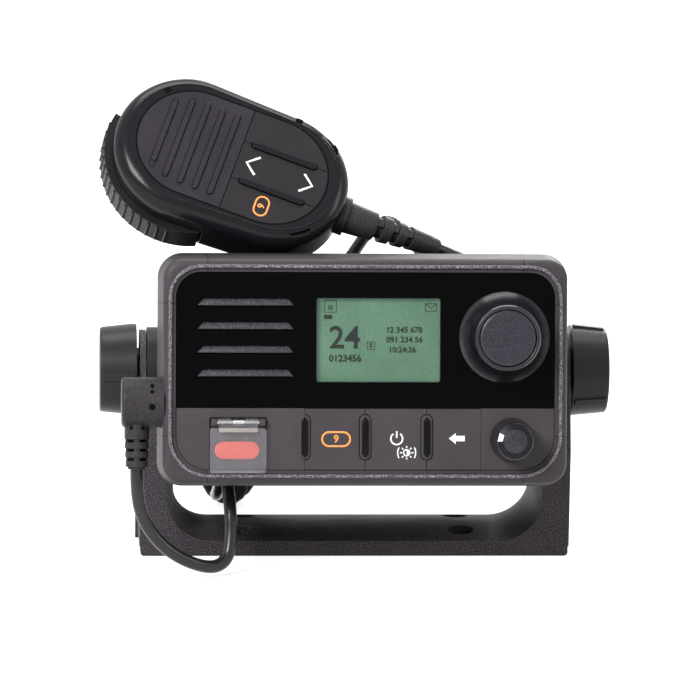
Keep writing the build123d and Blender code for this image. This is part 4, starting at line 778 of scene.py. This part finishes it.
cord_radius = 0.00265
lead_route = [(-90.8, -69.08, 45.97), (-90.8, -70.64, 36.10), (-88, -70.6, 25), (-80.5, -69, 14.5),
              (-70.5, -66.5, 7.4), (-59.5, -63, 3.7), (-53.4, -59, 6.8), (-52.2, -55.5, 15.5),
              (-52.4, -52.5, 25), (-53, -47.7, 31.6), (-53.4, -40.2, 35.5), (-53.9, -31.6, 36.1),
              (-54.4, -22.4, 33.6), (-54.9, -11.6, 28.2), (-55.3, 0.8, 21.6), (-55.6, 14.8, 16.6),
              (-54.4, 32, 13.4), (-51, 51, 12.1), (-48.2, 66, 12.4)]
coil_route = [(-48.2, 66, 12.4), (-47, 81, 12.7), (-46.5, 97, 17), (-41.5, 106.5, 31),
              (-33.5, 107.5, 50), (-18.5, 103.5, 69), (-4.5, 98.5, 88), (6, 94, 106)]
tail_route = [(6, 94, 106), (10.53, 92.06, 113.77), (15.2, 87.7, 119.4), (20.2, 80.6, 122.4),
              (25.2, 72, 120.4), (29.6, 61, 115.2), (33.8, 48.5, 111.6), (38.2, 33.5, 111.6),
              (42.2, 17.5, 114.4), (44.5, 5, 116.9), (44.3, -4.4, 119.7), (40, -12.2, 123.1),
              (31.5, -17, 127.2)]

lead_line = spline_line(lead_route)
lead = tube("microphone_lead", lead_line, cord_radius, "cord_rubber")
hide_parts("cord_lead")
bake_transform(lead)

tail_line = spline_line(tail_route)
tail = tube("microphone_tail", tail_line, cord_radius, "cord_rubber")
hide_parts("cord_tail")

coil_turns, coil_points, coil_radius, growing_turns, shrinking_turns = 24, 22, 0.00935, 0.5, 3.5


def wound(axis_line, turns, radius):
    """Points of a helix round a line, which starts and ends on the line.

    It grows to its radius over the first half turn and shrinks over the last turns.
    """
    lengths = [0.0]
    for a, b in zip(axis_line, axis_line[1:]):
        lengths.append(lengths[-1] + (b - a).length)
    total, count, points = lengths[-1], turns * coil_points, []
    side, at = Vector((0, 0, 1)), 0
    for i in range(count + 1):
        share = i / count
        while at < len(axis_line) - 2 and lengths[at + 1] < share * total:
            at += 1
        a, b = axis_line[at], axis_line[at + 1]
        middle = a.lerp(b, (share * total - lengths[at]) / (lengths[at + 1] - lengths[at]))
        along = (b - a).normalized()
        side = (side - along * side.dot(along)).normalized()
        other = along.cross(side)
        grown = min(1.0, share * turns / growing_turns, (1 - share) * turns / shrinking_turns)
        grown = radius * grown * grown * (3 - 2 * grown)
        angle = tau * turns * share
        points.append(middle + side * (grown * cos(angle)) + other * (grown * sin(angle)))
    return points


coil_line = wound(spline_line(coil_route, 24), coil_turns, coil_radius)
coil = tube("microphone_coil", coil_line, cord_radius, "coil_rubber_painted_shade", sides=12)
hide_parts("cord_coil")
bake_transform(coil)
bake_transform(tail)

# ---------------------------------------------------------------- radio front

opening_width, opening_height, opening_up, ridge_margin = 151.3, 79.0, 2.0, 2.95
ridge_width, ridge_height, ridge_foot = 1.45, 1.7, 73.0
top_corner, bottom_corner = 10.0 + ridge_margin, 13.5 + ridge_margin
ridge_side, ridge_edge = opening_width / 2 + ridge_margin, opening_height / 2 + ridge_margin
ridge_outline = (
    arc(top_corner, 0, 90, 10, ridge_side - top_corner, ridge_edge - top_corner)
    + arc(top_corner, 90, 180, 10, top_corner - ridge_side, ridge_edge - top_corner)
    + arc(bottom_corner, 180, 270, 10, bottom_corner - ridge_side, bottom_corner - ridge_edge)
    + arc(bottom_corner, 270, 360, 10, ridge_side - bottom_corner, bottom_corner - ridge_edge))
ridge = thicken(ring_of(corner_plate(ridge_outline), ridge_width), ridge_height, 0.5)
piece("bezel_ridge", move(ridge, y=opening_up, z=ridge_foot), RADIO, "radio", "bezel_plastic",
      "bezel_ridge")

louvre_x, lowest_louvre, louvre_pitch, louvre_z, louvre_tip = -48.0, 1.3, 9.4, 70.6, radians(-24)
louvre_corners = [(-19.3, -1.75), (19.3, -1.75), (17.0, 1.75), (-17.0, 1.75)]
louvres = [move(thicken(corner_plate(louvre_corners), 0.8, 0.25), louvre_x,
                lowest_louvre + louvre_pitch * row, louvre_z, tip=louvre_tip)
           for row in range(4)]
piece("speaker_louvres", joined(*louvres), RADIO, "radio", "fascia_grey", "louvre_grey")

figure_front = 70.47
# Each figure with its size, its boldness and its place from the window's middle.
figures = [("24", 12.6, 0.2, -13.4, 0.6), ("5", 2.4, 0.1, -2.9, -2.2),
           ("12 345 678", 3.2, 0.1, 10.3, 4.0), ("091 234 56", 3.2, 0.1, 10.5, 0.1),
           ("10:24:36", 3.2, 0.1, 9.6, -3.9), ("0123456", 3.7, 0.13, -13.2, -7.4),
           ("25", 2.2, 0.08, -19.2, 12.9)]
letter_fold = [(-2.2, 1.5), (0, -0.4), (2.2, 1.5)]
outlines = [([(box_line(4.8, 4.6), True)], 0.35, -19.2, 13.4),
            ([(box_line(3.0, 3.0), True)], 0.35, -2.9, -2.2),
            ([(box_line(4.4, 3.0), True), (letter_fold, False)], 0.4, 21.0, 13.1)]
signs = [move(digits(text, size, bold), window_x + x, window_y + y, figure_front)
         for text, size, bold, x, y in figures]
signs += [move(strokes(lines, width), window_x + x, window_y + y, figure_front)
          for lines, width, x, y in outlines]
battery = thicken(rounded_plate(3.4, 1.7, 0.3, 2), 0.05)
signs.append(move(battery, window_x - 20.1, window_y + 9.2, figure_front))
piece("display_figures", joined(*signs), RADIO, "radio", "lcd", "segment_ink")

channel_sign = joined(strokes([(pill_line(11.2, 5.6), True)], 0.75), digits("9", 4.2, 0.08))
piece("channel_key_sign", move(channel_sign, -11.7, -25.0, key_front), RADIO, "channel_key",
      "key_grey", "orange_ink")
power_sign = strokes([(arc(2.35, 125, 415, 24), False), ([(0, 0.3), (0, 3.0)], False)], 0.62)
rays = [([(1.9 * cos(a), 1.9 * sin(a)), (2.7 * cos(a), 2.7 * sin(a))], False)
        for a in (tau * k / 8 for k in range(8))]
sun_sign = strokes([(arc(1.25, 0, 345, 14), True), (arc(4.2, 150, 210, 8, x=0.6), False),
                    (arc(4.2, -30, 30, 8, x=-0.6), False)] + rays, 0.5)
half_disc = thicken(corner_plate(arc(1.25, -90, 90, 8)), 0.05)
piece("power_key_sign", joined(move(power_sign, 12.5, -24.8, key_front),
                               move(joined(sun_sign, half_disc), 16.5, -30.4, key_front)),
      RADIO, "power_key", "key_grey", "white_ink")
arrow = thicken(corner_plate([(-3.2, 0), (-0.4, 2.2), (-0.4, 1.1), (3.2, 1.1), (3.2, -1.1),
                              (-0.4, -1.1), (-0.4, -2.2)]), 0.05)
piece("back_key_sign", move(arrow, 36.5, -24.7, key_front), RADIO, "back_key", "key_grey",
      "white_ink")

hinge_bar = thicken(rounded_plate(15.6, 1.7, 0.5, 3), 0.5, 0.2)
piece("cover_hinge_bar", move(hinge_bar, cover_x, -21.4, cover_front), RADIO, "distress_cover",
      "clear_cover", "hinge_clear")
finger_lip = thicken(rounded_plate(20.5, 0.8, 0.35, 3), 0.4, 0.2)
piece("cover_finger_lip", move(finger_lip, cover_x, -37.9, cover_front), RADIO,
      "distress_cover", "clear_cover")

crown_slope, cap_foot = 23.5, 87.4
piece("volume_crown", move(cone(7.15, 4.85, 1.0, 48), volume_x, volume_y, crown_middle), RADIO,
      "volume_knob", "knob_plastic", "knob_crown", sharp=20)
piece("volume_cap", move(thicken(disc(4.75, 40), 0.3, 0.2), volume_x, volume_y, cap_foot), RADIO,
      "volume_knob", "knob_plastic", "knob_cap")
mark = thicken(corner_plate([(-1.0, -1.7), (1.0, -1.25), (1.0, 1.25), (-1.0, 1.7)]), 0.1)
turned(mark, -crown_slope, "Y")
bmesh.ops.translate(mark, verts=mark.verts, vec=(-5.86, 0, 0.06))
piece("volume_mark", move(mark, volume_x, volume_y, crown_middle, turn=radians(-14)), RADIO,
      "volume_knob", "knob_plastic", "white_ink")

bar_corners = [(-1.3, -6.6), (0, -8.1), (1.3, -6.6), (1.3, 6.6), (0, 8.1), (-1.3, 6.6)]
bar_foot, groove_foot = 73.35, 72.47
bars = [move(thicken(corner_plate(bar_corners), 0.75, 0.55, 3), x, light_bar_y, bar_foot)
        for x in light_bar_places]
piece("key_light_bars", joined(*bars), RADIO, "radio", "key_grey", "light_bar")
# Dark rings round the light bars: painted shade of the grooves round them.
bar_grooves = [move(thicken(ring_of(rounded_plate(4.4, 17.8, 2.15, 8), 0.35), 0.06), x,
                    light_bar_y, groove_foot) for x in light_bar_places]
piece("key_bar_grooves", joined(*bar_grooves), RADIO, "radio", "key_grey", "painted_recess_shade")

# ---------------------------------------------------------------- boot and strain reliefs

# Near-black discs, slits and sleeves in the boot's holes and the relief's gaps: painted shade of
# these holes.
dimples = [move(thicken(disc(size, 20), 0.45, 0.1), dimple_x, boot_y + up,
                boot_z + boot_radius * cos(up / boot_radius) - 0.3, tip=-up / boot_radius)
           for up, size in ((6.8, 0.75), (4.4, 0.75), (-1.4, 1.3))]
for side in (-1, 1):
    slit = thicken(rounded_plate(1.5, 1.5, 0.3, 2), 0.3, 0.1)
    turned(turned(slit, 45, "Z"), 26 * side, "Y")
    dimples.append(move(slit, relief_x + 2.2 * side, -20.8, 68.3))
dimples += [move(cone(3.65, 3.65, 1.26, 32), relief_x, y, boot_z, tip=radians(90))
            for y in relief_gaps.values()]
piece("boot_dimples", joined(*dimples), RADIO, "radio", "boot_rubber", "painted_recess_shade")


def bridge(middle, heading, length, turn, low, high, width):
    """A rib that joins two rings of a strain relief, from one radius to another."""
    level = Vector((0, 0, 1)).cross(heading).cross(heading).normalized()
    out = Matrix.Rotation(turn, 3, heading) @ level
    block = thicken(rounded_plate(length, width, 0.35, 2), high - low, 0.3)
    place = Matrix((heading, out.cross(heading), out)).transposed().to_4x4()
    place.translation = middle + out * low
    bmesh.ops.transform(block, verts=block.verts, matrix=place)
    return block


inner_radius = 3.2
bridges = [bridge(Vector((relief_x, y, boot_z)), Vector((0, -1, 0)), 1.7, radians(90 * k),
                  inner_radius, 4.75 - 0.18 * i, 2.3)
           for i, y in relief_gaps.items() for k in range(4)]
piece("boot_relief_bridges", joined(*bridges), RADIO, "radio", "boot_rubber")

root = Vector((51.7, 0, -0.5))
tip = HANDSET.inverted() @ Vector((0.0315, -0.017, 0.1272))
relief_length = (tip - root).length
elbow = root + Vector((relief_length * 0.5, 0, 0))
bridges = []
for share in (0.315, 0.475, 0.635):
    start, end = root.lerp(elbow, share), elbow.lerp(tip, share)
    bridges += [bridge(start.lerp(end, share), (end - start).normalized(), relief_length * 0.085,
                       radians(turn), inner_radius, 6.2 - 2.7 * share, 3.4)
                for turn in (0, 180)]
piece("handset_relief_bridges", joined(*bridges), HANDSET, "handset", "boot_rubber")

# ---------------------------------------------------------------- microphone front

chevrons = strokes([([(10.6, 4.2), (6.0, 0), (10.6, -4.2)], False),
                    ([(29.5, 4.1), (34.0, 0.1), (29.5, -4.1)], False)], 0.95)
piece("rocker_signs", move(chevrons, z=plate_front), HANDSET, "handset_rocker_key",
      "handset_key_rubber", "white_ink")
hand_pill = joined(strokes([(pill_line(8.6, 5.4), True)], 0.7), digits("9", 4.0, 0.09))
piece("handset_channel_sign", move(hand_pill, 17.6, -16.4, plate_front, turn=radians(90)),
      HANDSET, "handset_channel_key", "handset_key_rubber", "orange_ink")
rim_line = ([(-17 + x, y) for x, y in arc(26.4, 92.4, 267.6, 40)]
            + [(19.4 + x, y) for x, y in arc(24.9, -87.6, 87.6, 40)])
piece("handset_rim_crease", move(strokes([(rim_line, True)], 0.5, 0.2), z=line_front), HANDSET,
      "handset", "handset_plastic")
# Dark strokes along the plate's groove, the divider, round the key bars and round the ribs: painted
# shade of these grooves.
plate_line = arc(23.7, 90, 270, 40, x=-16.1) + arc(23.7, -90, 90, 40, x=16.1)
plate_groove = strokes([(plate_line, True)], 0.8, 0.1)
divider = strokes([([(2.0, -23.3), (2.0, 23.3)], False)], 0.5, 0.1)
rows = (8.6, -8.6)
bar_lines = strokes(
    [(arc(1.55, 90, 270, 8, x=6.9, y=y) + arc(1.55, -90, 90, 8, x=31.9, y=y), True) for y in rows]
    + [([(2.2, y), (5.3, y)], False) for y in rows]
    + [([(33.4, y), (37.2, y)], False) for y in rows], 0.42, 0.1)
rib_reaches = ((-29.4, 16.5), (-22.98, 18.9), (-16.56, 19.3), (-10.14, 19.3), (-3.72, 19.3))
rib_lines = strokes([(arc(1.15, 180, 360, 8, x=x, y=1.0 - reach)
                      + arc(1.15, 0, 180, 8, x=x, y=reach - 1.0), True)
                     for x, reach in rib_reaches], 0.32, 0.1)
piece("handset_plate_lines",
      move(joined(plate_groove, divider, bar_lines, rib_lines), z=line_front), HANDSET, "handset",
      "handset_plastic", "painted_recess_shade")
# Dark plates on the rim: painted shade of its notches.
notches = [move(turned(thicken(rounded_plate(2.0, 3.0, 0.3, 2), 0.35, 0.1), 17, "Y"), x, y, z,
                turn=radians(turn))
           for x, y, z, turn in ((-33.9, 18.8, 13.8, 132), (20.2, 26.3, 13.55, 90),
                                 (37.6, 20.0, 13.55, 48))]
piece("handset_rim_notches", joined(*notches), HANDSET, "handset", "handset_plastic",
      "painted_recess_shade")

recess_foot, cross_size = -14.63, 2.9
arm, half = cross_size / 2, cross_size / 7
cross_corners = [(-arm, -half), (-half, -half), (-half, -arm), (half, -arm), (half, -half),
                 (arm, -half), (arm, half), (half, half), (half, arm), (-half, arm),
                 (-half, half), (-arm, half)]
# Dark crosses: painted shade in the screws' cross recesses.
recesses = [move(thicken(corner_plate(cross_corners), 0.06), x, y, recess_foot, turn=radians(20))
            for x, y in ((-26, -18), (-26, 18), (31, -15), (31, 15))]
piece("handset_screw_recesses", joined(*recesses), HANDSET, "handset", "stainless",
      "painted_recess_shade")
